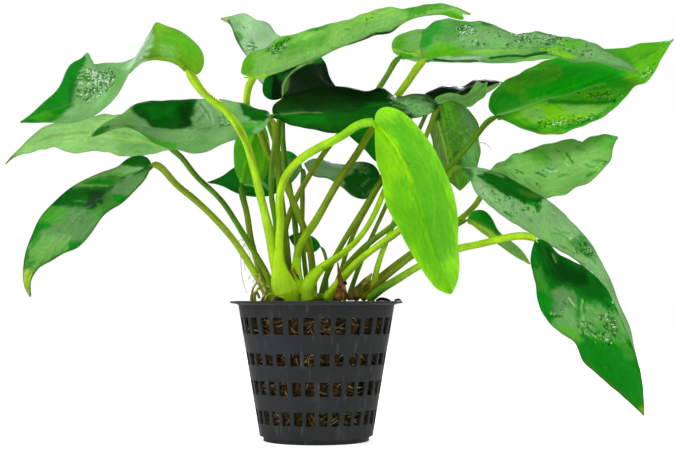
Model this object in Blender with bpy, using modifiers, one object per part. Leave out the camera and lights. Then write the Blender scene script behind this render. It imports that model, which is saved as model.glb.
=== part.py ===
"""Potted anubias: a slotted net pot, its wool plug, and a plant of twenty-four stalked leaves.

The origin is the middle of the pot's base. +Z is up and -Y is the front.
Leaves and stems are laid out as a painter would see them from the front: each point is an
(x, z, depth) in millimetres, where x and z are read on the upright plane through the pot's axis,
and depth says how far behind that plane (or in front of it, if negative) the point really is.
"""

from math import atan2, cos, pi, radians, sin

import bmesh
import bpy
from mathutils import Vector

MM = 0.001

# Viewpoint that the layout of the plant is drawn from, in millimetres.
EYE_X = 6.9
EYE_DISTANCE = 450.0
EYE_HEIGHT = 44.2

# Pot, in metres.
POT_HEIGHT = 44.2 * MM
LIP_RADIUS = 27.5 * MM
RIM_RADIUS = 25.1 * MM
WALL_FOOT_RADIUS = 18.0 * MM
FOOT_RADIUS = 16.7 * MM
FOOT_HEIGHT = 1.8 * MM
FOOT_EDGE_HEIGHT = 1.6 * MM
POT_WALL = 0.8 * MM
LIP_RISE = 0.15 * MM
WALL_SLOPE = (RIM_RADIUS - WALL_FOOT_RADIUS) / (POT_HEIGHT - FOOT_HEIGHT)
GROUPS = 15
SLOT_ANGLE = radians(8.2)
NARROW_BAR_ANGLE = radians(3.2)
GROUP_TURN = radians(-88.6)
SLOT_ROWS = [(5.7 * MM, 10.1 * MM), (14.9 * MM, 19.4 * MM), (24.2 * MM, 28.0 * MM), (33.8 * MM, 39.1 * MM)]

# Wool plug, in metres.
PLUG_TOP = 42.6 * MM
PLUG_DOME = 0.6 * MM
PLUG_SHOULDER = 0.6
PLUG_GAP = 0.35 * MM
PLUG_STEPS = 24

# Plant, in metres.
BLADE_THICKNESS = 0.9 * MM
BLADE_REACH = 0.486
BLADE_ROWS = 7
SMALL_BLADE_ROWS = 5
STEM_GAP = 1.5
STEM_TIP_TAPER = 0.7
SWELLING_REACH = 0.35
SWELLING_FALL = 1.5
FEWEST_STEM_POINTS = 5
MOST_STEM_POINTS = 10
THICK_TUBE = 1.8 * MM
RHIZOME_RADIUS = 1.9 * MM
RHIZOME_POINTS = 7
ROOT_RADIUS = 0.45 * MM
ROOT_POINTS = 8

# Each leaf: the midrib from base to tip, then its left and right edges seen on the upper face with
# the tip away from the reader. The two leans say how far behind the midrib each edge lies, near the
# base and near the tip.
LEAVES = {
    "leaf_01": dict(
        rib=[(-41.5, 118.3, -23), (-45, 121.5, -23), (-50, 122.8, -23.5), (-56, 122, -25), (-61, 118, -27),
             (-68, 112.5, -28), (-80, 107, -30), (-95.5, 101.7, -34)],
        left=[(-37.5, 117.5), (-36, 121.5), (-38.5, 127.5), (-45, 131.7), (-51.5, 133.5), (-55.5, 127),
              (-60.5, 118), (-64, 111), (-70, 105), (-77, 102), (-87, 101.2)],
        right=[(-43, 120), (-47, 121.8), (-52, 122), (-57.5, 123), (-62, 121.3), (-69, 121), (-74, 122.3),
               (-79, 120), (-83, 112.5), (-89, 106)],
        left_lean=(3, -8), right_lean=(8, 6), rows=10),
    "leaf_02": dict(
        rib=[(-47, 93, 7), (-58, 96.5, 9), (-72, 98, 12), (-86, 96.5, 15), (-97, 91.5, 18), (-100, 88, 19)],
        left=[(-50, 98), (-60, 103.5), (-70, 103.5), (-80, 102.5), (-87, 100), (-92, 96.5), (-97, 92)],
        right=[(-52, 91.5), (-58, 90.3), (-64, 91.2), (-70, 92.3), (-79, 91.8), (-84, 93), (-90, 92.2),
               (-96, 91.2)],
        left_lean=(-6, -6), right_lean=(6, 6)),
    "leaf_03": dict(
        rib=[(-14.8, 103, -6), (-25, 102, -8.5), (-38, 100.5, -11), (-50, 99.5, -13), (-62, 100.5, -16),
             (-72.5, 97, -20)],
        left=[(-17, 99.5), (-21, 97), (-27, 95.5), (-32, 94.2), (-37.5, 91.8), (-45, 93), (-52, 95.3),
              (-58, 98.8), (-64, 100.3), (-69, 98)],
        right=[(-15.3, 105), (-18, 105.8), (-22.5, 107.3), (-28, 108.2), (-33, 109), (-38.5, 109.2),
               (-50, 108.8), (-56, 108.2), (-60, 106.4), (-63, 104.1), (-68, 101.7)],
        left_lean=(-7, -7), right_lean=(7, 7)),
    "leaf_04": dict(
        rib=[(-53, 88, -20), (-60, 82.5, -21), (-68, 76.5, -23), (-77, 69, -25), (-86, 59, -28), (-92, 50, -30),
             (-91.5, 45.3, -31)],
        left=[(-54.5, 84), (-57, 81), (-62, 76), (-67, 72.5), (-70.5, 68), (-73, 65), (-77, 61), (-80.5, 59.8),
              (-85, 57), (-89.5, 53.5), (-91.5, 49.5)],
        right=[(-54, 90), (-60, 90), (-63.5, 87), (-70, 85), (-77, 81.5), (-84, 76), (-89.5, 69), (-92.5, 62),
               (-93.7, 54), (-93, 48)],
        left_lean=(-5, -5), right_lean=(6, 6)),
    "leaf_05": dict(
        rib=[(-10.5, 113.5, 27), (-14, 121, 30), (-20, 128, 34), (-26, 133, 37), (-31, 135.5, 40)],
        left=[(-13, 112.5), (-17.5, 114), (-22, 122.5), (-25.5, 127.5), (-28.5, 134)],
        right=[(-7, 117), (-9, 124), (-11, 129), (-15, 133), (-20, 134.8), (-23.5, 137), (-27, 136.2)],
        left_lean=(-6, -6), right_lean=(6, 6)),
    "leaf_06": dict(
        rib=[(-20, 116.3, 1), (-14, 118, 0), (-4, 122, -3), (8, 127, -7), (20, 132.5, -11), (32, 136.5, -15),
             (42, 137.8, -19), (50, 136.8, -22)],
        left=[(-23.5, 116.2), (-17, 116.5), (-9, 119.3), (0, 122.3), (8, 125.9), (15, 128.5), (19, 130.4),
              (24, 131), (30, 134.3), (38, 136.4), (44, 137)],
        right=[(-24.3, 117.8), (-24, 120.5), (-21.5, 124), (-16.5, 125.5), (-12.5, 129), (-6, 130.3), (0, 132),
               (10, 135), (17, 137.8), (22.5, 138.7), (28, 138), (33, 139.5), (39, 140.2), (45, 139)],
        left_lean=(9, 7), right_lean=(-9, -6)),
    "leaf_07": dict(
        rib=[(-11, 109.5, 13), (-10.3, 114, 14), (-8.5, 118, 15), (-5, 122, 17), (-1, 126, 19)],
        left=[(-15, 109), (-17, 111), (-16.7, 114.5), (-13, 119.5), (-7, 124)],
        right=[(-6, 109), (0, 110.5), (3.8, 114), (4.2, 119), (2.8, 123)],
        left_lean=(4, 4), right_lean=(-5, -5), rows=SMALL_BLADE_ROWS),
    "leaf_08": dict(
        rib=[(-14, 104, -2), (-4, 104.5, -3.5), (8, 105.5, -5), (20, 106.5, -6), (30, 107, -7), (39.5, 107, -8)],
        left=[(-14.3, 106.5), (-10, 109.5), (-4, 111.5), (4, 113.5), (12, 112.7), (16, 111.4), (21, 112.6),
              (26, 110), (31, 111), (36, 110.3)],
        right=[(-11.5, 102.5), (-7.5, 100.7), (-3, 99.6), (2, 98.7), (7, 98.3), (12, 100.5), (18, 102.2),
               (25, 103), (32, 103), (37, 104.5)],
        left_lean=(8, 8), right_lean=(-8, -8)),
    "leaf_09": dict(
        rib=[(18.8, 101.3, -33), (23, 97, -36), (27, 91, -39), (31, 83, -41), (35, 72, -42.5), (39, 59, -43),
             (42, 50, -42.5), (43, 46.3, -42)],
        left=[(19, 104.5), (21.5, 106.5), (26, 105.8), (30, 103), (34, 98.5), (37.5, 93.5), (40.5, 87.5),
              (43, 81.5), (44.5, 76), (45.3, 70), (45.3, 62), (45.8, 55), (45, 50)],
        right=[(18.8, 97), (19, 92), (19.5, 87.5), (21, 84), (21.5, 79.5), (23, 73.5), (25.5, 69), (28.5, 63),
               (32, 57), (35.5, 51.5), (38.5, 48)],
        left_lean=(-3, -3), right_lean=(-5, -5), rows=9),
    "leaf_10": dict(
        rib=[(34.8, 121.8, 3), (40, 124, 2), (50, 125.5, 0), (62, 126, -3), (75, 125.8, -6), (88, 122.7, -9),
             (98, 120, -12), (104.5, 117.3, -14)],
        left=[(33.3, 125.5), (34.3, 130.5), (38, 134), (43, 135), (48, 134.3), (54, 134), (59, 132.3),
              (64, 130.5), (70, 131.2), (76, 130.2), (84, 128.5), (91, 126), (98, 122.5)],
        right=[(37, 121.5), (45, 121.3), (52, 121.3), (59, 121.2), (66, 122.3), (72, 123.6), (78, 122.5),
               (84, 120.6), (91, 120.5), (98, 119.4)],
        left_lean=(7, 7), right_lean=(-7, -7), rows=9),
    "leaf_11": dict(
        rib=[(27, 123, 17), (33, 124, 18), (45, 125, 21), (60, 126, 24), (75, 125, 28), (84, 124.3, 30)],
        left=[(30, 121.7), (38, 121.3), (45, 120.8), (52, 121), (59, 120.7), (68, 121.5), (77, 122.5)],
        right=[(24.5, 124.5), (24.3, 127.5), (27, 130.3), (30.5, 131.3), (36, 132), (46, 132), (58, 130.5),
               (70, 128.5), (79, 126.5)],
        left_lean=(6, 6), right_lean=(-5, -5)),
    "leaf_12": dict(
        rib=[(57.8, 103.4, 3), (64, 105, 2), (72, 108.5, 1), (82, 112, 0), (92, 116, -1), (104, 121.5, -3),
             (115.3, 128.8, -6)],
        left=[(55.3, 106.5), (56, 110.3), (59, 113.5), (65, 117), (72, 120.5), (80, 123), (90, 125),
              (98, 125.7), (104, 126.9), (110, 127.4)],
        right=[(61, 102), (66, 99.8), (71, 98.2), (78, 98.1), (84, 100), (90, 102.3), (95, 105), (100, 110),
               (103, 113.5), (106, 114.2), (109, 118.5), (112, 123.5)],
        left_lean=(11, 8), right_lean=(-10, -7), rows=9),
    "leaf_13": dict(
        rib=[(55.5, 86, -1.5), (63, 86.5, -2), (72, 87, -3), (82, 89, -4), (90, 92.5, -6), (97, 97, -8)],
        left=[(58, 88.3), (61.5, 90.3), (66, 92), (70.5, 93.3), (77, 95), (82.5, 96.2), (85, 95.2), (89, 97.2)],
        right=[(58, 82.5), (64, 79.5), (71, 77.3), (78, 77.8), (82, 79.3), (86, 81.5), (91, 85), (94.5, 89.5),
               (95.3, 93.5)],
        left_lean=(7, 7), right_lean=(-6, -6)),
    "leaf_14": dict(
        rib=[(46, 87.3, -10.5), (53, 84, -14), (62, 79, -17), (72, 72.5, -20), (82, 63, -22), (91, 53, -23),
             (98, 38, -24), (103.3, 20, -25)],
        left=[(49.5, 87.2), (55, 86.3), (60, 84.8), (65, 82), (71, 78.4), (77, 73.7), (84, 66.8), (90.5, 58),
              (94.5, 49), (98.5, 39.5), (101.5, 30)],
        right=[(49, 84), (50.5, 80), (53, 77), (57, 73.3), (63, 69.5), (70, 65), (78, 60), (85, 55.5),
               (90, 49), (95, 38), (99.5, 28)],
        left_lean=(5, 5), right_lean=(-4, -4), rows=9),
    "leaf_15": dict(
        rib=[(70.3, 64, -31), (74, 57, -33), (78.5, 50, -35), (84.5, 42, -36.5), (91.5, 31.5, -38),
             (98, 20, -39), (104.4, 7.7, -39)],
        left=[(73.5, 63.3), (77, 59.8), (82, 57), (87.5, 53.8), (92, 49.5), (95, 44), (97.5, 38),
              (100.5, 31.5), (102.5, 25), (103.8, 17.5)],
        right=[(69, 60.5), (68.7, 56.5), (70, 49), (71.3, 42.5), (74, 37.8), (78, 33.7), (83, 30), (85, 25.5),
               (90, 20.5), (95.5, 15.5), (101, 10.7)],
        left_lean=(3, 3), right_lean=(-5, -5), rows=9),
    "leaf_16": dict(
        rib=[(48.3, 70.2, -12.5), (53, 68.7, -13), (58, 65, -14), (63, 60.8, -15), (68.5, 56, -16)],
        left=[(50, 73), (53.5, 73.4), (56.5, 70.5), (58.5, 66.5), (62, 63.8), (66, 60)],
        right=[(52, 67), (56, 64.2), (60, 61.2), (64.5, 58)],
        left_lean=(3, 3), right_lean=(-2, -2), rows=SMALL_BLADE_ROWS),
    "leaf_17": dict(
        rib=[(39.5, 107.3, 7), (41, 101, 6.5), (42.5, 93, 6), (44.3, 86, 6), (46, 79.5, 6)],
        left=[(37.5, 105), (37, 98), (38.5, 90), (42, 83)],
        right=[(44, 108.5), (48, 106.5), (51, 102), (52, 95), (51.3, 88), (49, 82.5)],
        left_lean=(0, 0), right_lean=(1, 1)),
    "leaf_18": dict(
        rib=[(31, 106.5, 18), (38, 109, 21), (46, 111, 25), (53, 113, 29), (60, 114.5, 33)],
        left=[(33.5, 109.8), (38, 112.5), (42, 113.6), (47, 113.2), (51, 115.7), (55, 115.7)],
        right=[(36, 105.5), (43, 107), (50, 109.3), (56, 112)],
        left_lean=(6, 6), right_lean=(-5, -5)),
    "leaf_19": dict(
        rib=[(-4.5, 87, 24), (-13, 86, 26), (-21, 84, 28), (-29, 82.5, 31), (-35, 82.3, 33)],
        left=[(-8, 82.5), (-12, 79.5), (-16, 78), (-22, 78), (-26, 79), (-30, 81)],
        right=[(-7, 91.5), (-13, 92), (-20, 90.5), (-26, 87.3), (-30, 84.3)],
        left_lean=(-6, -6), right_lean=(6, 6)),
    "leaf_20": dict(
        rib=[(20.5, 84.3, 9.5), (14, 83.5, 10), (8, 85, 10.5), (2, 87, 11), (-4, 88.3, 12)],
        left=[(19, 80), (16, 76.8), (12, 77.5), (7.5, 81.2), (3, 83.8), (-1, 84.3)],
        right=[(18.5, 87.8), (14, 88.8), (9, 87.7), (4, 88.8), (-0.5, 90)],
        left_lean=(2, -4), right_lean=(5, 5), rows=SMALL_BLADE_ROWS),
    "leaf_21": dict(
        rib=[(1.3, 61.7, 18), (-2, 63, 18.5), (-5.5, 64, 19), (-8.8, 64.8, 19.5)],
        left=[(0, 60), (-4, 60), (-7.3, 62)],
        right=[(0, 63.8), (-3, 65.5), (-6.5, 66)],
        left_lean=(-2, -2), right_lean=(2, 2), rows=SMALL_BLADE_ROWS),
    "leaf_22": dict(
        rib=[(-24, 82, 5), (-22.5, 89, 5), (-20.5, 96, 5.5), (-19, 103, 6)],
        left=[(-20, 81.3), (-17, 83), (-15.3, 88), (-15.2, 95), (-17, 101)],
        right=[(-25.5, 84.5), (-26.5, 90), (-26, 96), (-23, 101)],
        left_lean=(1, 1), right_lean=(1, 1), rows=SMALL_BLADE_ROWS),
    "leaf_23": dict(
        rib=[(23.5, 90, 13.5), (18, 95, 14), (12, 100, 15), (7, 104.5, 16)],
        left=[(20.5, 88.3), (15, 93), (10.5, 97.2), (7.5, 101)],
        right=[(24, 95), (20, 100.5), (13.5, 104.5)],
        left_lean=(-3, -3), right_lean=(4, 4), rows=SMALL_BLADE_ROWS),
    "leaf_24": dict(
        rib=[(37.8, 108.7, 11), (43, 109, 12), (48, 109.8, 13), (52, 112, 14), (55, 114.8, 15)],
        left=[(40, 109.8), (45, 109.6), (49, 111.5), (52, 114)],
        right=[(41, 107.5), (46, 106.5), (51, 108.5), (55, 111.8)],
        left_lean=(1, 1), right_lean=(-2, -2), rows=SMALL_BLADE_ROWS),
    "old_sheath_01": dict(
        rib=[(7.8, 44.4, -12), (8, 49, -12), (7.3, 53, -11), (6.8, 56.5, -10)],
        left=[(6, 45), (6.6, 50), (6.4, 54)],
        right=[(9.4, 45), (9.2, 50), (7.8, 54)],
        left_lean=(1, 1), right_lean=(1, 1), rows=SMALL_BLADE_ROWS),
    "old_sheath_02": dict(
        rib=[(11, 44.4, -11), (13.5, 47.5, -11), (16, 50.5, -10.5), (17.8, 53, -10)],
        left=[(9.7, 45.5), (13, 49.5), (16, 52.2)],
        right=[(14, 45), (15.8, 48), (17.5, 51)],
        left_lean=(1, 1), right_lean=(1, 1), rows=SMALL_BLADE_ROWS),
}

# Each stem: its radius just below the blade and at the foot, in millimetres, then its route upwards,
# which ends at the base of its leaf. The foot's swelling dies out over the first third of the stem.
STEMS = {
    "stem_01": (1.25, 3.6, [(-8.5, 44.7, -9), (-10.5, 50, -10), (-13, 58, -12), (-15, 66, -13.5),
                            (-17.5, 76, -15), (-20.5, 88, -17), (-24, 98, -18.5), (-30, 106, -21),
                            (-36.5, 111, -22.5)]),
    "stem_02": (0.9, 1.1, [(-13, 44.5, -1), (-16.5, 54, -0.5), (-21, 61.5, 0), (-25.5, 69, 1), (-31, 77, 2.5),
                           (-38, 83.5, 4)]),
    "stem_03": (0.9, 1.1, [(-11.5, 44.5, -4), (-12.5, 62, -5), (-13, 69, -5), (-14.5, 78, -5), (-14.3, 88, -5),
                           (-13.3, 97, -5.5)]),
    "stem_04": (1.0, 1.3, [(-14.5, 44.5, -7), (-19, 52, -9), (-26, 63, -12), (-36, 74, -15),
                           (-45, 81.5, -17.5)]),
    "stem_05": (0.9, 1.1, [(-5, 44.5, 9.5), (-6, 58, 12), (-7, 70, 14), (-8.5, 80, 16), (-10.5, 92, 20),
                           (-11, 104, 24)]),
    "stem_06": (1.1, 1.3, [(-1, 44.5, 3), (-1.5, 57, 3), (-3, 65, 2.8), (-5.5, 71, 2.3), (-8.5, 78.5, 1.8),
                           (-12, 86, 1.5), (-16.3, 93, 1), (-18, 98.5, 1), (-22, 104, 1), (-22.5, 110, 1)]),
    "stem_07": (0.9, 1.1, [(-8, 44.5, 6), (-9, 58, 8), (-10, 68, 10), (-11.5, 80, 11), (-12.5, 92, 11.5),
                           (-12, 102, 12)]),
    "stem_08": (0.9, 1.1, [(-7.5, 44.5, -2.5), (-9.5, 56, -2.5), (-11, 68, -1.5), (-12, 80, -1.5),
                           (-12.3, 92, -1.5)]),
    "stem_09": (1.25, 1.3, [(-8.5, 44.5, -14.5), (-11, 54, -16), (-12, 62, -16), (-11.5, 70, -16),
                            (-12, 76, -16.5), (-10.5, 83, -17.5), (-6, 89, -19), (0, 93, -22), (8, 97, -26),
                            (14, 101, -30)]),
    "stem_10": (1.15, 1.6, [(-4, 44.5, -4.5), (-6.3, 56, -4.5), (-6, 60, -4.5), (0, 70, -2), (7, 82.5, 1),
                            (13, 91.5, 3.5), (17.5, 99, 5), (21, 104, 5.5), (26, 110, 5), (30, 115.5, 4.2)]),
    "stem_11": (0.9, 1.1, [(-11.5, 44.5, 2.5), (-10.8, 58, 3), (-9.8, 68, 4), (-7, 76, 5), (-2.5, 84, 6),
                           (3, 92.5, 7.5), (7.5, 98, 8.5), (13, 103, 10), (20, 112.5, 13), (23.5, 118, 15)]),
    "stem_12": (0.9, 1.1, [(5.5, 44.5, -2), (7.5, 52, -2), (15.5, 61.5, -2), (25.8, 69.4, -2.3), (35, 79, -3),
                           (44, 88.5, -3.5), (50.5, 96, -2)]),
    "stem_13": (0.9, 1.1, [(12, 44.5, 5), (21, 52.5, 4.5), (31, 60, 3), (38, 65, 1), (45.6, 70, -1),
                           (51.5, 75.5, -2), (54, 80.5, -2)]),
    "stem_14": (1.1, 1.7, [(3, 44.5, -6), (8, 51, -6.5), (14, 57.5, -7), (20, 62, -7.3), (26, 66.3, -7.7),
                           (34, 74, -8.5), (41, 82, -9.3)]),
    "stem_15": (1.1, 1.4, [(16.5, 44.5, -9), (20, 47.5, -10), (25, 50.5, -12), (33, 55.4, -16), (40, 58.8, -20),
                           (45, 60.8, -22), (52, 62.3, -25), (58, 63.7, -27), (65, 65, -29.5)]),
    "stem_16": (0.8, 1.0, [(14.5, 44.5, -5), (22, 51.5, -6), (31.5, 59, -8), (38, 63.5, -9), (44, 68, -11)]),
    "stem_17": (0.8, 1.1, [(17.5, 44.5, -1.5), (19.7, 55.7, 0), (24.5, 68.5, 2.5), (30, 85, 3), (36, 99, 3),
                           (38.4, 105.3, 4.2)]),
    "stem_18": (0.9, 2.1, [(-1.5, 44.6, -8), (-3, 50, -8), (2, 55, -7.5), (8, 59, -6.5), (13, 63.5, -4.5),
                           (17, 69, -1.5), (22, 80, 3), (27, 93, 9), (30, 103, 15.5)]),
    "stem_19": (0.8, 1.0, [(-2, 44.5, 12), (-4, 58, 13), (-4.5, 66, 14.5), (-4.5, 74, 18.5),
                           (-4.5, 82, 22.5)]),
    "stem_20": (0.9, 1.0, [(1.2, 44.5, 4.8), (3.5, 53, 3), (9, 63.7, 2.5), (16, 75, 2), (19.2, 80.5, 2.5),
                           (21.3, 83.3, 5.5)]),
    "stem_21": (0.5, 0.7, [(3.5, 44.5, 8), (3.3, 52, 12), (3, 58, 16)]),
    "stem_22": (1.0, 1.2, [(-15.5, 44.5, 4), (-18.5, 55, 4), (-21, 64, 4), (-22.2, 72, 4.2)]),
    "stem_23": (0.7, 0.9, [(6.5, 44.5, 9), (8, 54, 9.5), (12, 66, 11), (19, 79, 12)]),
    "stem_24": (0.7, 0.9, [(10, 44.5, 8.5), (14, 56, 9), (22, 74, 9.5), (30, 92, 9), (36.2, 106, 10.3)]),
}

# Rhizome: its route and, at each point, its thickness as a share of RHIZOME_RADIUS.
RHIZOME_ROUTE = [(-8, 44.9, 1.6), (-4, 45.2, 0.6), (0, 45.0, -1.6), (4, 45.3, 3.8), (9, 45, 2.5)]
RHIZOME_THICKNESS = [0.6, 1.0, 0.8, 0.75, 0.5]

ROOT_ROUTE = [(-16.2, 43.6, -9.5), (-17.3, 47.5, -10.5), (-18.6, 50.3, -10.5), (-20.2, 48.3, -9.5),
              (-20.4, 45.2, -8), (-18.9, 43.6, -6)]

# Colour, roughness and metallic value of each finish.
FINISHES = {
    "pot": ((0.065, 0.070, 0.073), 0.45, 0.0),
    "growing_medium": ((0.12, 0.09, 0.035), 0.95, 0.0),
    "rhizome": ((0.20, 0.33, 0.02), 0.55, 0.0),
    "stem": ((0.30, 0.52, 0.02), 0.40, 0.0),
    "leaf_dark": ((0.01, 0.16, 0.01), 0.30, 0.0),
    "leaf_fresh": ((0.12, 0.42, 0.02), 0.32, 0.0),
    "leaf_young": ((0.27, 0.62, 0.01), 0.35, 0.0),
    "sheath": ((0.12, 0.06, 0.01), 0.80, 0.0),
    "root": ((0.30, 0.26, 0.08), 0.70, 0.0),
}
DARK_LEAVES = {"leaf_03", "leaf_04", "leaf_07", "leaf_08", "leaf_14", "leaf_15", "leaf_18", "leaf_19",
               "leaf_20", "leaf_21"}
YOUNG_LEAVES = {"leaf_01", "leaf_09", "leaf_22", "leaf_24"}


def seen(x, z, depth):
    """The real place, in metres, of a point seen at (x, z) on the upright plane through the pot's axis."""
    scale = (EYE_DISTANCE + depth) / EYE_DISTANCE
    return Vector((EYE_X + (x - EYE_X) * scale, depth, EYE_HEIGHT + (z - EYE_HEIGHT) * scale)) * MM


def along(points, share):
    """The point at a share (0 to 1) of the way along a smooth curve through the given points."""
    points = [Vector(point) for point in points]
    lengths = [(b - a).length for a, b in zip(points, points[1:])]
    left = share * sum(lengths)
    index = 0
    while index < len(lengths) - 1 and left > lengths[index]:
        left -= lengths[index]
        index += 1
    t = min(left / lengths[index], 1.0)
    before = points[max(index - 1, 0)]
    start, end = points[index], points[index + 1]
    after = points[min(index + 2, len(points) - 1)]
    return 0.5 * (2 * start + (end - before) * t + (2 * before - 5 * start + 4 * end - after) * t ** 2
                  + (3 * start - before - 3 * end + after) * t ** 3)


def make_material(name):
    colour, roughness, metallic = FINISHES[name]
    material = bpy.data.materials.new(name)
    material.use_nodes = True
    shader = material.node_tree.nodes["Principled BSDF"]
    shader.inputs["Base Color"].default_value = (*colour, 1.0)
    shader.inputs["Roughness"].default_value = roughness
    shader.inputs["Metallic"].default_value = metallic
    material.diffuse_color = (*colour, 1.0)
    return material


def add_object(name, data, material, collection):
    item = bpy.data.objects.new(name, data)
    item.data.materials.append(material)
    collection.objects.link(item)
    return item


def blade_point(leaf, across, share):
    """A point of a leaf's middle surface: across runs from -1 (left edge) to 1 (right edge)."""
    rib = along(leaf["rib"], share)
    if across == 0:
        return seen(*rib)
    side, lean = (leaf["left"], leaf["left_lean"]) if across < 0 else (leaf["right"], leaf["right_lean"])
    base, tip = leaf["rib"][0], leaf["rib"][-1]
    edge = along([base[:2], *side, tip[:2]], share)
    behind = (lean[0] + (lean[1] - lean[0]) * share) * sin(pi * share) ** 0.5
    x, z = rib.xy.lerp(edge, abs(across))
    return seen(x, z, rib.z + behind * abs(across))


def add_leaf(name, leaf, material, collection):
    rows = leaf.get("rows", BLADE_ROWS)
    mesh = bmesh.new()
    bmesh.ops.create_grid(mesh, x_segments=4, y_segments=rows, size=1.0)
    for vertex in mesh.verts:
        # Rows are closer together towards the base and the tip, where the outline turns fastest.
        y = vertex.co.y
        share = 0.5 + BLADE_REACH * (0.5 * y + 0.5 * sin(0.5 * pi * y))
        vertex.co = blade_point(leaf, vertex.co.x, share)
    data = bpy.data.meshes.new(name)
    mesh.to_mesh(data)
    mesh.free()
    data.shade_smooth()
    item = add_object(name, data, material, collection)
    shell = item.modifiers.new("Thickness", "SOLIDIFY")
    shell.thickness = BLADE_THICKNESS
    shell.offset = 0.0
    return item


def add_tube(name, route, radii, count, material, collection, reach=1.0):
    """A round stalk along a share of the route; radii gives the radius in metres at a share of its way."""
    curve = bpy.data.curves.new(name, "CURVE")
    curve.dimensions = "3D"
    curve.bevel_depth = 1.0
    curve.bevel_resolution = 2 if radii(0.0) > THICK_TUBE else 1
    curve.use_fill_caps = True
    spline = curve.splines.new("POLY")
    spline.points.add(count - 1)
    for index, point in enumerate(spline.points):
        share = index / (count - 1)
        point.co = (*seen(*along(route, share * reach)), 1.0)
        point.radius = radii(share)
    return add_object(name, curve, material, collection)


def add_stem(name, material, collection):
    tip_radius, foot_radius, route = STEMS[name]
    route = [*route, LEAVES[name.replace("stem", "leaf")]["rib"][0]]
    length = sum((Vector(b) - Vector(a)).length for a, b in zip(route, route[1:]))
    count = min(max(len(route), FEWEST_STEM_POINTS), MOST_STEM_POINTS)

    def radius(share):
        swelling = max(0.0, 1.0 - share / SWELLING_REACH) ** SWELLING_FALL
        taper = STEM_TIP_TAPER if share == 1.0 else 1.0
        return (tip_radius + (foot_radius - tip_radius) * swelling) * taper * MM

    return add_tube(name, route, radius, count, material, collection, reach=1.0 - STEM_GAP / length)


def wall_radius(height):
    """The outer radius of the pot's wall at a height."""
    return WALL_FOOT_RADIUS + (height - FOOT_HEIGHT) * WALL_SLOPE


def pot_profile():
    """The pot's outside from the middle of the base to the edge of its lip, as (radius, height)."""
    heights = [FOOT_HEIGHT, *(z for row in SLOT_ROWS for z in row)]
    under_lip = POT_HEIGHT - POT_WALL
    return [(0.0, 0.0), (FOOT_RADIUS, 0.0), (FOOT_RADIUS, FOOT_EDGE_HEIGHT),
            *((wall_radius(z), z) for z in heights), (RIM_RADIUS, under_lip - LIP_RISE), (LIP_RADIUS, under_lip)]


def column_angle(column):
    """Where a column of the pot's wall starts; each group has slot, bar, slot, bar."""
    group, part = divmod(column, 4)
    group_angle = 2 * pi / GROUPS
    wide_bar = group_angle - 2 * SLOT_ANGLE - NARROW_BAR_ANGLE
    starts = [0.0, SLOT_ANGLE, SLOT_ANGLE + NARROW_BAR_ANGLE, 2 * SLOT_ANGLE + NARROW_BAR_ANGLE]
    return GROUP_TURN + group * group_angle + wide_bar / 2 + starts[part]


def add_pot(material, collection):
    """The net pot: its profile is spun into a shell, the slots are taken out, and the shell is thickened."""
    columns = 4 * GROUPS
    mesh = bmesh.new()
    points = [mesh.verts.new((radius, 0.0, height)) for radius, height in pot_profile()]
    edges = [mesh.edges.new(pair) for pair in zip(points, points[1:])]
    bmesh.ops.spin(mesh, geom=points + edges, cent=(0.0, 0.0, 0.0), axis=(0.0, 0.0, 1.0), dvec=(0.0, 0.0, 0.0),
                   angle=-2 * pi, steps=columns, use_merge=True)
    bmesh.ops.remove_doubles(mesh, verts=mesh.verts, dist=0.00001)

    def column_of(point):
        return atan2(point.y, point.x) % (2 * pi) / (2 * pi / columns)

    slots = []
    for face in mesh.faces:
        middle = face.calc_center_median()
        if int(column_of(middle)) % 2 == 0 and any(low < middle.z < high for low, high in SLOT_ROWS):
            slots.append(face)
    bmesh.ops.delete(mesh, geom=slots, context="FACES")
    for vertex in mesh.verts:
        radius = vertex.co.xy.length
        angle = column_angle(round(column_of(vertex.co)) % columns)
        vertex.co.x = radius * cos(angle)
        vertex.co.y = radius * sin(angle)
    data = bpy.data.meshes.new("pot")
    mesh.to_mesh(data)
    mesh.free()
    item = add_object("pot", data, material, collection)
    shell = item.modifiers.new("Wall", "SOLIDIFY")
    shell.thickness = POT_WALL
    shell.offset = -1.0
    shell.use_even_offset = True
    return item


def add_plug(material, collection):
    """The wool plug: a turned, tapered body with a slightly domed top."""
    bottom = FOOT_HEIGHT + POT_WALL + PLUG_GAP
    inset = POT_WALL * (1.0 + WALL_SLOPE ** 2) ** 0.5 + PLUG_GAP
    bottom_radius = wall_radius(bottom) - inset
    top_radius = wall_radius(PLUG_TOP) - inset
    profile = [(0.0, PLUG_TOP + PLUG_DOME), (top_radius * PLUG_SHOULDER, PLUG_TOP + PLUG_DOME / 2),
               (top_radius, PLUG_TOP - PLUG_DOME), (bottom_radius, bottom), (0.0, bottom)]
    data = bpy.data.meshes.new("growing_medium")
    data.from_pydata([(radius, 0.0, height) for radius, height in profile],
                     [(i, i + 1) for i in range(len(profile) - 1)], [])
    item = add_object("growing_medium", data, material, collection)
    turn = item.modifiers.new("Turn", "SCREW")
    turn.steps = turn.render_steps = PLUG_STEPS
    turn.use_merge_vertices = True
    turn.merge_threshold = 0.00001
    return item


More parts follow.
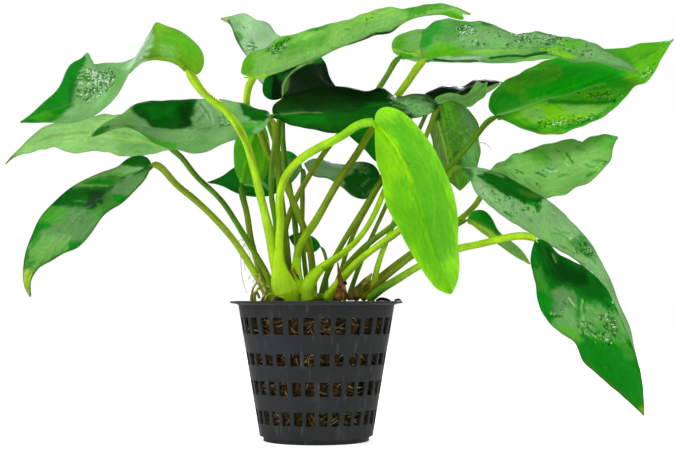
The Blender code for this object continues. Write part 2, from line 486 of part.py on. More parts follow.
def main():
    for item in list(bpy.data.objects):
        bpy.data.objects.remove(item, do_unlink=True)
    plant = bpy.data.collections.new("potted_anubias")
    bpy.context.scene.collection.children.link(plant)
    materials = {name: make_material(name) for name in FINISHES}

    add_pot(materials["pot"], plant)
    add_plug(materials["growing_medium"], plant)

    def rhizome_radius(share):
        place = share * (len(RHIZOME_THICKNESS) - 1)
        index = min(int(place), len(RHIZOME_THICKNESS) - 2)
        low, high = RHIZOME_THICKNESS[index:index + 2]
        return RHIZOME_RADIUS * (low + (high - low) * (place - index))

    add_tube("rhizome", RHIZOME_ROUTE, rhizome_radius, RHIZOME_POINTS, materials["rhizome"], plant)
    add_tube("root", ROOT_ROUTE, lambda share: ROOT_RADIUS, ROOT_POINTS, materials["root"], plant)
    for name in STEMS:
        add_stem(name, materials["stem"], plant)
    for name, leaf in LEAVES.items():
        finish = "leaf_fresh"
        if name in DARK_LEAVES:
            finish = "leaf_dark"
        elif name in YOUNG_LEAVES:
            finish = "leaf_young"
        elif name.startswith("old_sheath"):
            finish = "sheath"
        add_leaf(name, leaf, materials[finish], plant)


main()
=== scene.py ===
"""Looks of the potted anubias: glossy veined blades on slender stalks, a crown of old sheaths and
roots, a plug of brown wool, the slotted grey net pot, and a white studio round them."""

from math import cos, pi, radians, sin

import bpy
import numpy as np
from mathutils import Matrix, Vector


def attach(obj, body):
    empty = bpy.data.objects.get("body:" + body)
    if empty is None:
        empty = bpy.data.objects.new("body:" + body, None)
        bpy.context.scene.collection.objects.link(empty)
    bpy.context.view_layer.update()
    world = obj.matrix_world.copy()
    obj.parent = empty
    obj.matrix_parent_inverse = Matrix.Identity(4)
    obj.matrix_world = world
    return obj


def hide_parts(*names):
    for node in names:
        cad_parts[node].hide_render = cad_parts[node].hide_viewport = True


bl_info = {
    "name": "Potted Anubias",
    "version": (1, 0, 0),
    "blender": (4, 5, 0),
    "location": "View3D > Sidebar > Anubias",
    "description": "Dresses the net-pot anubias: blades, stalks, crown, wool plug, pot and studio",
    "category": "Object",
}

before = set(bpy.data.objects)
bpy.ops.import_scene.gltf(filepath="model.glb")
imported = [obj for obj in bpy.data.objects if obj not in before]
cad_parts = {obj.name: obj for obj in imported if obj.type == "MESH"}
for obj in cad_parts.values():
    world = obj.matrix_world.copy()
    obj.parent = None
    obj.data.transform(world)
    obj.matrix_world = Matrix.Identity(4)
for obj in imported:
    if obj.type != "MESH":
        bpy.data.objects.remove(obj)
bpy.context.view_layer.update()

MM = 0.001

# Viewpoint that the plant is laid out from and that the camera takes, in millimetres.
EYE_X = 6.9
EYE_DISTANCE = 450.0
EYE_HEIGHT = 44.2
CAMERA_PITCH = radians(3.03)
CAMERA_LENS = 74.88
SENSOR_WIDTH = 36.0

# Net pot, in millimetres.
POT_HEIGHT = 44.2
LIP_RADIUS = 27.5
RIM_RADIUS = 25.1
WALL_FOOT_RADIUS = 18.0
FOOT_HEIGHT = 1.8
LIP_OUTLINE = [(24.4, 42.9), (25.15, 43.0), (25.5, 43.25), (27.3, 43.5), (LIP_RADIUS, 43.65),
               (LIP_RADIUS, 43.95), (27.3, 44.12), (24.9, POT_HEIGHT), (24.4, 44.0)]
FOOT_OUTLINE = [(18.05, 1.75), (18.0, 2.3), (17.2, 2.6), (16.6, 2.4), (0.001, 2.2), (0.001, 0.7),
                (14.9, 0.7), (15.1, 0.1), (15.3, 0.0), (16.6, 0.0), (16.75, 0.15), (16.85, 1.55),
                (17.8, 1.6)]
TURNED_STEPS = 180
ROUNDING = 0.12
GROUPS = 15
SLOT_ANGLE = radians(8.2)
NARROW_BAR_ANGLE = radians(3.2)
GROUP_TURN = radians(-88.6)
SLOT_ROWS = [(5.7, 10.1), (14.9, 19.4), (24.2, 28.0), (33.8, 39.1)]

# Wool plug, in millimetres: its ends, and how far it stays inside the wall's outer face.
PLUG_FOOT = 3.1
PLUG_TOP = 42.6
WALL_CLEARANCE = 0.82
PLUG_GAP = 0.35

# Blades, in millimetres: the way along the midrib from one side vein to the next, the groove over
# the midrib and the ridge under it, and the width over which the nicks of the margin fade.
VEIN_SPACING = 4.2
RIB_GROOVE = 0.24
RIB_RIDGE = 0.95
NICK_FADE = 4.0

# Every route below is written as its points, "x,z,depth x,z,depth" or "x,z x,z" in millimetres, and
# spots() reads it.
#
# Each leaf: the midrib from base to tip, then its left and right edges seen on the upper face with the
# tip away from the reader. The two leans say how far behind the midrib each edge lies, near the base
# and near the tip.
LEAVES = {
    "leaf_01": dict(
        rib="-41.5,118.3,-23 -45,121.5,-23 -50,122.8,-23.5 -56,122,-25 -61,118,-27 -68,112.5,-28 "
            "-80,107,-30 -95.5,101.7,-34",
        left="-38.4,116.8 -36.2,120.6 -36.9,124.6 -40.2,128.5 -45,131.7 -49,133 -52.4,134.2 -53.2,130.6 "
            "-56,126.5 -60.5,118 -64,111 -70,105 -77,102 -87,101.2",
        right="-43,120 -47,121.8 -52,122 -57.5,123 -62,121.3 -69,121 -72.5,120.4 -74,124.4 -75.2,122.5 "
            "-79,120.4 -83,112.5 -89,106",
        left_lean=(3, -8), right_lean=(8, 6)),
    "leaf_02": dict(
        rib="-47,93,7 -58,96.5,9 -72,98,12 -86,96.5,15 -97,91.5,18 -100,88,19",
        left="-50,98 -60,103.5 -70,103.5 -80,102.5 -87,100 -92,96.5 -97,92",
        right="-52,91.5 -58,90.3 -64,91.2 -70,92.3 -79,91.8 -84,93 -90,92.2 -96,91.2",
        left_lean=(-6, -6), right_lean=(6, 6)),
    "leaf_03": dict(
        rib="-14.8,103,-6 -25,102,-8.5 -38,100.5,-11 -50,99.5,-13 -62,100.5,-16 -72.5,97,-20",
        left="-17,99.5 -21,97 -27,95.5 -32,94.2 -37.5,91.8 -45,93 -52,95.3 -58,98.8 -64,100.3 -69,98",
        right="-15.3,105 -18,105.8 -22.5,107.3 -28,108.2 -33,109 -38.5,109.2 -50,108.8 -56,108.2 -60,106.4 "
            "-63,104.1 -68,101.7",
        left_lean=(-7, -7), right_lean=(7, 7)),
    "leaf_04": dict(
        rib="-53,88,-20 -60,82.5,-21 -68,76.5,-23 -77,69,-25 -86,59,-28 -92,50,-30 -91.5,45.3,-31",
        left="-54.5,84 -57,81 -62,76 -67,72.5 -70.5,68 -73,65 -77,61 -80.5,59.8 -85,57 -89.5,53.5 "
            "-91.5,49.5",
        right="-54,90 -60,90 -63.5,87 -70,85 -77,81.5 -84,76 -89.5,69 -92.5,62 -93.7,54 -93,48",
        left_lean=(-5, -5), right_lean=(6, 6)),
    "leaf_05": dict(
        rib="-10.5,113.5,27 -14,121,30 -20,128,34 -26,133,37 -31,135.5,40",
        left="-13,112.5 -17.5,114 -22,122.5 -25.5,127.5 -28.5,134",
        right="-7,117 -9,124 -11.5,129.3 -13.6,130.7 -14.9,133 -17,134.4 -19.6,134.7 -21.4,136.3 "
            "-23.7,137.2 -27,136.1",
        left_lean=(-6, -6), right_lean=(6, 6)),
    "leaf_06": dict(
        rib="-20,116.3,1 -14,118,0 -4,122,-3 8,127,-7 20,132.5,-11 32,136.5,-15 42,137.8,-19 50,136.8,-22",
        left="-23.5,116.2 -17,116.5 -9,119.3 0,122.3 8,125.9 15,128.5 19,130.4 24,131 26.5,132.8 31,135 "
            "37.5,136.6 41,136.7 44,135.6 47.6,135.1 46.6,137",
        right="-24.3,117.8 -24,120.5 -21.5,124 -16.5,125.5 -12.5,129 -6,130.3 0,132 10,135 17,137.8 "
            "22.5,138.7 28,138 33,139.5 39,140.2 45,139",
        left_lean=(9, 7), right_lean=(-9, -6)),
    "leaf_07": dict(
        rib="-11,109.5,13 -10.3,114,14 -8.5,118,15 -5,122,17 -1,126,19",
        left="-14.6,108.8 -17,110.3 -17,114.5 -13,119.5 -7,124",
        right="-6,107.5 1,108.5 7,112.4 5,115 3.7,117.6 3,120.8 1.4,122.6",
        left_lean=(4, 4), right_lean=(-5, -5)),
    "leaf_08": dict(
        rib="-14,104,-2 -4,104.5,-3.5 8,105.5,-5 20,106.5,-6 30,107,-7 39.5,107,-8",
        left="-14.3,106.5 -10,109.5 -4,111.5 4,113.5 12,112.7 16,111.4 21,112.6 26,110 31,111 36,110.3",
        right="-11.5,102.5 -7.5,100.7 -3,99.6 2,98.7 7,98.3 12,100.5 18,102.2 25,103 32,103 37,104.5",
        left_lean=(8, 8), right_lean=(-8, -8)),
    "leaf_09": dict(
        rib="18.8,101.3,-33 23,97,-36 27,91,-39 31,83,-41 35,72,-42.5 39,59,-43 42,50,-42.5 43,46.3,-42",
        left="19,104.5 21.5,106.5 26,105.8 30,103 34,98.5 37.5,93.5 40.5,87.5 43,81.5 44.5,76 45.3,70 "
            "45.3,62 45.8,55 45,50",
        right="18.8,97 19,92 19.5,87.5 21,84 21.5,79.5 23,73.5 25.5,69 28.5,63 32,57 35.5,51.5 38.5,48",
        left_lean=(-3, -3), right_lean=(-5, -5)),
    "leaf_10": dict(
        rib="34.8,121.8,3 40,124,2 50,125.5,0 62,126,-3 75,125.8,-6 88,122.7,-9 98,120,-12 104.5,117.3,-14",
        left="33.3,125.5 34.3,130.5 38,134 43,135 48,134.3 54,134 59,132.3 64,130.5 70,131.2 76,130.2 "
            "84,128.5 91,126 98,122.5",
        right="37,121.5 45,121.3 52,121.3 59,121.2 66,122.3 72,123.6 78,122.5 84,120.6 91,120.5 98,119.4",
        left_lean=(7, 7), right_lean=(-7, -7)),
    "leaf_11": dict(
        rib="27,123,17 33,124,18 45,125,21 60,126,24 75,125,28 84,124.3,30",
        left="30,121.7 38,121.3 45,120.8 52,121 59,120.7 68,121.5 77,122.5",
        right="24.5,124.5 24.3,127.5 27,130.3 30.5,131.3 36,132 46,132 58,130.5 70,128.5 79,126.5",
        left_lean=(6, 6), right_lean=(-5, -5)),
    "leaf_12": dict(
        rib="57.8,103.4,3 64,105,2 72,108.5,1 82,112,0 92,116,-1 104,121.5,-3 115.3,128.8,-6",
        left="55.3,106.5 56,110.3 59,113.5 65,117 72,120.5 80,123 90,125 98,125.7 104,126.9 110,127.4",
        right="61,102 66,99.8 71,98.2 78,98.1 84,100 90,102.3 95,105 100,110 103,113.5 106,114.2 109,118.5 "
            "112,123.5",
        left_lean=(11, 8), right_lean=(-10, -7)),
    "leaf_13": dict(
        rib="55.5,86,-1.5 63,86.5,-2 72,87,-3 82,89,-4 90,92.5,-6 97,97,-8",
        left="58,88.3 61.5,90.3 66,92 70.5,93.3 77,95 82.5,96.2 85,95.2 89,97.2",
        right="58,82.5 64,79.5 71,77.3 78,77.8 82,79.3 86,81.5 91,85 94.5,89.5 95.3,93.5",
        left_lean=(7, 7), right_lean=(-6, -6)),
    "leaf_14": dict(
        rib="46,87.3,-10.5 53,84,-14 62,79,-17 72,72.5,-20 82,63,-22 91,53,-23 98,38,-24 103.3,20,-25",
        left="49.5,87.2 55,86.3 60,84.8 65,82 71,78.4 77,73.7 84,66.8 90.5,58 94.5,49 98.5,39.5 101.5,30",
        right="49,84 50.5,80 53,77 57,73.3 63,69.5 70,65 78,60 85,55.5 90,49 95,38 99.5,28",
        left_lean=(5, 5), right_lean=(-4, -4)),
    "leaf_15": dict(
        rib="70.3,64,-31 74,57,-33 78.5,50,-35 84.5,42,-36.5 91.5,31.5,-38 98,20,-39 104.4,7.7,-39",
        left="73.5,63.3 77,59.8 82,57 87.5,53.8 92,49.5 95,44 97.5,38 100.5,31.5 102.5,25 103.8,17.5",
        right="69,60.5 68.7,56.5 70,49 71.3,42.5 74,37.8 78,33.7 83,30 85,25.5 90,20.5 95.5,15.5 101,10.7",
        left_lean=(3, 3), right_lean=(-5, -5)),
    "leaf_16": dict(
        rib="48.3,70.2,-12.5 53,68.7,-13 58,65,-14 63,60.8,-15 68.5,56,-16",
        left="50,73 53.5,73.4 56.5,70.5 58.5,66.5 62,63.8 66,60",
        right="52,67 56,64.2 60,61.2 64.5,58",
        left_lean=(3, 3), right_lean=(-2, -2)),
    "leaf_17": dict(
        rib="39.5,107.3,7 41,101,6.5 42.5,93,6 44.3,86,6 46,79.5,6",
        left="37.5,105 37,98 38.5,90 42,83",
        right="44,108.5 47.6,107 49.4,105 51,102.4 52.2,99 52.3,95 52.2,91 51.3,87 49.4,82.5",
        left_lean=(0, 0), right_lean=(1, 1)),
    "leaf_18": dict(
        rib="31,106.5,18 38,109,21 46,111,25 53,113,29 60,114.5,33",
        left="33.5,109.8 38,112.5 42,113.6 47,113.2 51,115.7 55,115.7",
        right="36,105.5 43,107 50,109.3 56,112",
        left_lean=(6, 6), right_lean=(-5, -5)),
    "leaf_19": dict(
        rib="-4.5,87,24 -13,86,26 -21,84,28 -29,82.5,31 -35,82.3,33",
        left="-8,82.5 -12,79.5 -16,78 -22,78 -26,79 -30,81",
        right="-7,91.5 -13,92 -20,90.5 -26,87.3 -30,84.3",
        left_lean=(-6, -6), right_lean=(6, 6)),
    "leaf_20": dict(
        rib="20.5,84.3,9.5 14,83.5,10 8,85,10.5 2,87,11 -4,88.3,12",
        left="19,80 16,76.8 12,77.5 7.5,81.2 3,83.8 -1,84.3",
        right="18.5,87.8 14,88.8 9,87.7 4,88.8 -0.5,90",
        left_lean=(2, -4), right_lean=(5, 5)),
    "leaf_21": dict(
        rib="1.3,61.7,18 -2,63,18.5 -5.5,64,19 -8.8,64.8,19.5",
        left="0,60 -4,60 -7.3,62",
        right="0,63.8 -3,65.5 -6.5,66",
        left_lean=(-2, -2), right_lean=(2, 2)),
    "leaf_22": dict(
        rib="-24,82,5 -22.5,89,5 -20.5,96,5.5 -19,103,6",
        left="-20,81.3 -17,83 -15.3,88 -15.2,95 -17,101",
        right="-25.5,84.5 -26.5,90 -26,96 -23,101",
        left_lean=(1, 1), right_lean=(1, 1)),
    "leaf_23": dict(
        rib="23.5,90,13.5 18,95,14 12,100,15 7,104.5,16",
        left="20.5,88.3 15,93 10.5,97.2 7.5,101",
        right="24,95 20,100.5 13.5,104.5",
        left_lean=(-3, -3), right_lean=(4, 4)),
    "leaf_24": dict(
        rib="37.8,108.7,11 43,109,12 48,109.8,13 52,112,14 55,114.8,15",
        left="38,109.6 41,110.4 45,110.2 47.5,109.6 49.6,111.4 50.4,114 52.4,115.6 53,113.4",
        right="38.4,107.9 42,107.6 46,106.4 50,106.6 53,108.8 55,111.4",
        left_lean=(1, 1), right_lean=(-2, -2)),
    "old_sheath_01": dict(
        rib="7.8,44.4,-12 8,49,-12 7.3,53,-11 6.8,56.5,-10",
        left="6,45 6.6,50 6.4,54",
        right="9.4,45 9.2,50 7.8,54",
        left_lean=(1, 1), right_lean=(1, 1)),
    "old_sheath_02": dict(
        rib="11,44.4,-11 13.5,47.5,-11 16,50.5,-10.5 17.8,53,-10",
        left="9.7,45.5 13,49.5 16,52.2",
        right="14,45 15.8,48 17.5,51",
        left_lean=(1, 1), right_lean=(1, 1)),
}

# Each stem: its radius just below the blade and at the foot, in millimetres, then its route upwards,
# which ends at the base of its leaf.
STEMS = {
    "stem_01": (1.25, 3.6, "-8.5,44.7,-9 -10.5,50,-10 -13,58,-12 -15,66,-13.5 -17.5,76,-15 -20.5,88,-17 "
        "-24,98,-18.5 -30,106,-21 -36.5,111,-22.5"),
    "stem_02": (0.9, 1.1, "-13,44.5,-1 -16.5,54,-0.5 -21,61.5,0 -25.5,69,1 -31,77,2.5 -38,83.5,4"),
    "stem_03": (0.9, 1.1, "-11.5,44.5,-4 -12.5,62,-5 -13,69,-5 -14.5,78,-5 -14.3,88,-5 -13.3,97,-5.5"),
    "stem_04": (1.0, 1.3, "-14.5,44.5,-7 -19,52,-9 -26,63,-12 -36,74,-15 -45,81.5,-17.5"),
    "stem_05": (0.9, 1.1, "-5,44.5,9.5 -6,58,12 -7,70,14 -8.5,80,16 -10.5,92,20 -11,104,24"),
    "stem_06": (1.1, 1.3, "-1,44.5,3 -1.5,57,3 -3,65,2.8 -5.5,71,2.3 -8.5,78.5,1.8 -12,86,1.5 -16.3,93,1 "
        "-18,98.5,1 -22,104,1 -22.5,110,1"),
    "stem_07": (0.9, 1.1, "-8,44.5,6 -9,58,8 -10,68,10 -11.5,80,11 -12.5,92,11.5 -12,102,12"),
    "stem_08": (0.9, 1.1, "-7.5,44.5,-2.5 -9.5,56,-2.5 -11,68,-1.5 -12,80,-1.5 -12.3,92,-1.5"),
    "stem_09": (1.25, 1.3, "-8.5,44.5,-14.5 -11,54,-16 -12,62,-16 -11.5,70,-16 -12,76,-16.5 -10.5,83,-17.5 "
        "-6,89,-19 0,93,-22 8,97,-26 14,101,-30"),
    "stem_10": (1.15, 1.6, "-4,44.5,-4.5 -6.3,56,-4.5 -6,60,-4.5 0,70,-2 7,82.5,1 13,91.5,3.5 17.5,99,5 "
        "21,104,5.5 26,110,5 30,115.5,4.2"),
    "stem_11": (0.9, 1.1, "-11.5,44.5,2.5 -10.8,58,3 -9.8,68,4 -7,76,5 -2.5,84,6 3,92.5,7.5 7.5,98,8.5 "
        "13,103,10 20,112.5,13 23.5,118,15"),
    "stem_12": (0.9, 1.1, "5.5,44.5,-2 7.5,52,-2 15.5,61.5,-2 25.8,69.4,-2.3 35,79,-3 44,88.5,-3.5 "
        "50.5,96,-2"),
    "stem_13": (0.9, 1.1, "12,44.5,5 21,52.5,4.5 31,60,3 38,65,1 45.6,70,-1 51.5,75.5,-2 54,80.5,-2"),
    "stem_14": (1.1, 1.7, "3,44.5,-6 8,51,-6.5 14,57.5,-7 20,62,-7.3 26,66.3,-7.7 34,74,-8.5 41,82,-9.3"),
    "stem_15": (1.1, 1.4, "16.5,44.5,-9 20,47.5,-10 25,50.5,-12 33,55.4,-16 40,58.8,-20 45,60.8,-22 "
        "52,62.3,-25 58,63.7,-27 65,65,-29.5"),
    "stem_16": (0.8, 1.0, "14.5,44.5,-5 22,51.5,-6 31.5,59,-8 38,63.5,-9 44,68,-11"),
    "stem_17": (0.8, 1.1, "17.5,44.5,-1.5 19.7,55.7,0 24.5,68.5,2.5 30,85,3 36,99,3 38.4,105.3,4.2"),
    "stem_18": (0.9, 2.1, "-1.5,44.6,-8 -3,50,-8 2,55,-7.5 8,59,-6.5 13,63.5,-4.5 17,69,-1.5 22,80,3 "
        "27,93,9 30,103,15.5"),
    "stem_19": (0.8, 1.0, "-2,44.5,12 -4,58,13 -4.5,66,14.5 -4.5,74,18.5 -4.5,82,22.5"),
    "stem_20": (0.9, 1.0, "1.2,44.5,4.8 3.5,53,3 9,63.7,2.5 16,75,2 19.2,80.5,2.5 21.3,83.3,5.5"),
    "stem_21": (0.5, 0.7, "3.5,44.5,8 3.3,52,12 3,58,16"),
    "stem_22": (1.0, 1.2, "-15.5,44.5,4 -18.5,55,4 -21,64,4 -22.2,72,4.2"),
    "stem_23": (0.7, 0.9, "6.5,44.5,9 8,54,9.5 12,66,11 19,79,12"),
    "stem_24": (0.7, 0.9, "10,44.5,8.5 14,56,9 22,74,9.5 30,92,9 36.2,106,10.3"),
}

# Colours as a painter picks them, from 0 to 255.
PALETTE = {
    "black_green": (0, 30, 0),
    "deep": (0, 56, 3),
    "dark": (0, 92, 6),
    "green": (0, 124, 6),
    "bright": (15, 145, 12),
    "mid": (58, 140, 38),
    "grove": (74, 142, 24),
    "vivid": (16, 168, 4),
    "grass": (62, 162, 16),
    "moss": (62, 110, 24),
    "moss_green": (56, 124, 38),
    "fresh_deep": (82, 172, 4),
    "fresh": (92, 182, 4),
    "lobe": (98, 162, 4),
    "young": (128, 206, 2),
    "lime": (166, 226, 14),
    "yellow_green": (150, 190, 56),
    "leaf_pale": (118, 182, 84),
    "under_bright": (134, 200, 86),
    "under": (98, 160, 80),
    "under_pale": (130, 186, 98),
    "under_grey": (120, 172, 104),
    # The next two colours are painted reflections: the grey-green sheen of the studio light on wet, glossy
    # blades, laid on as colour. Some blades also take the second for their rims.
    "painted_sheen": (114, 170, 98),
    "dim_painted_sheen": (90, 138, 78),
    "pale_leaf": (152, 198, 142),
    "pale": (168, 206, 160),
    "straw": (200, 190, 100),
    "olive": (122, 150, 8),
    "olive_grey": (108, 148, 68),
    "stalk": (162, 210, 2),
    "stalk_dark": (84, 136, 6),
    "blush": (150, 122, 50),
    "rust": (116, 110, 22),
    "brown": (105, 78, 40),
}


def linear(red, green, blue):
    """The colour value that a shader works with, from a painter's 0 to 255 values."""
    values = np.array((red, green, blue)) / 255.0
    return np.where(values <= 0.04045, values / 12.92, ((values + 0.055) / 1.055) ** 2.4)


PAINTS = {name: linear(*colour) for name, colour in PALETTE.items()}
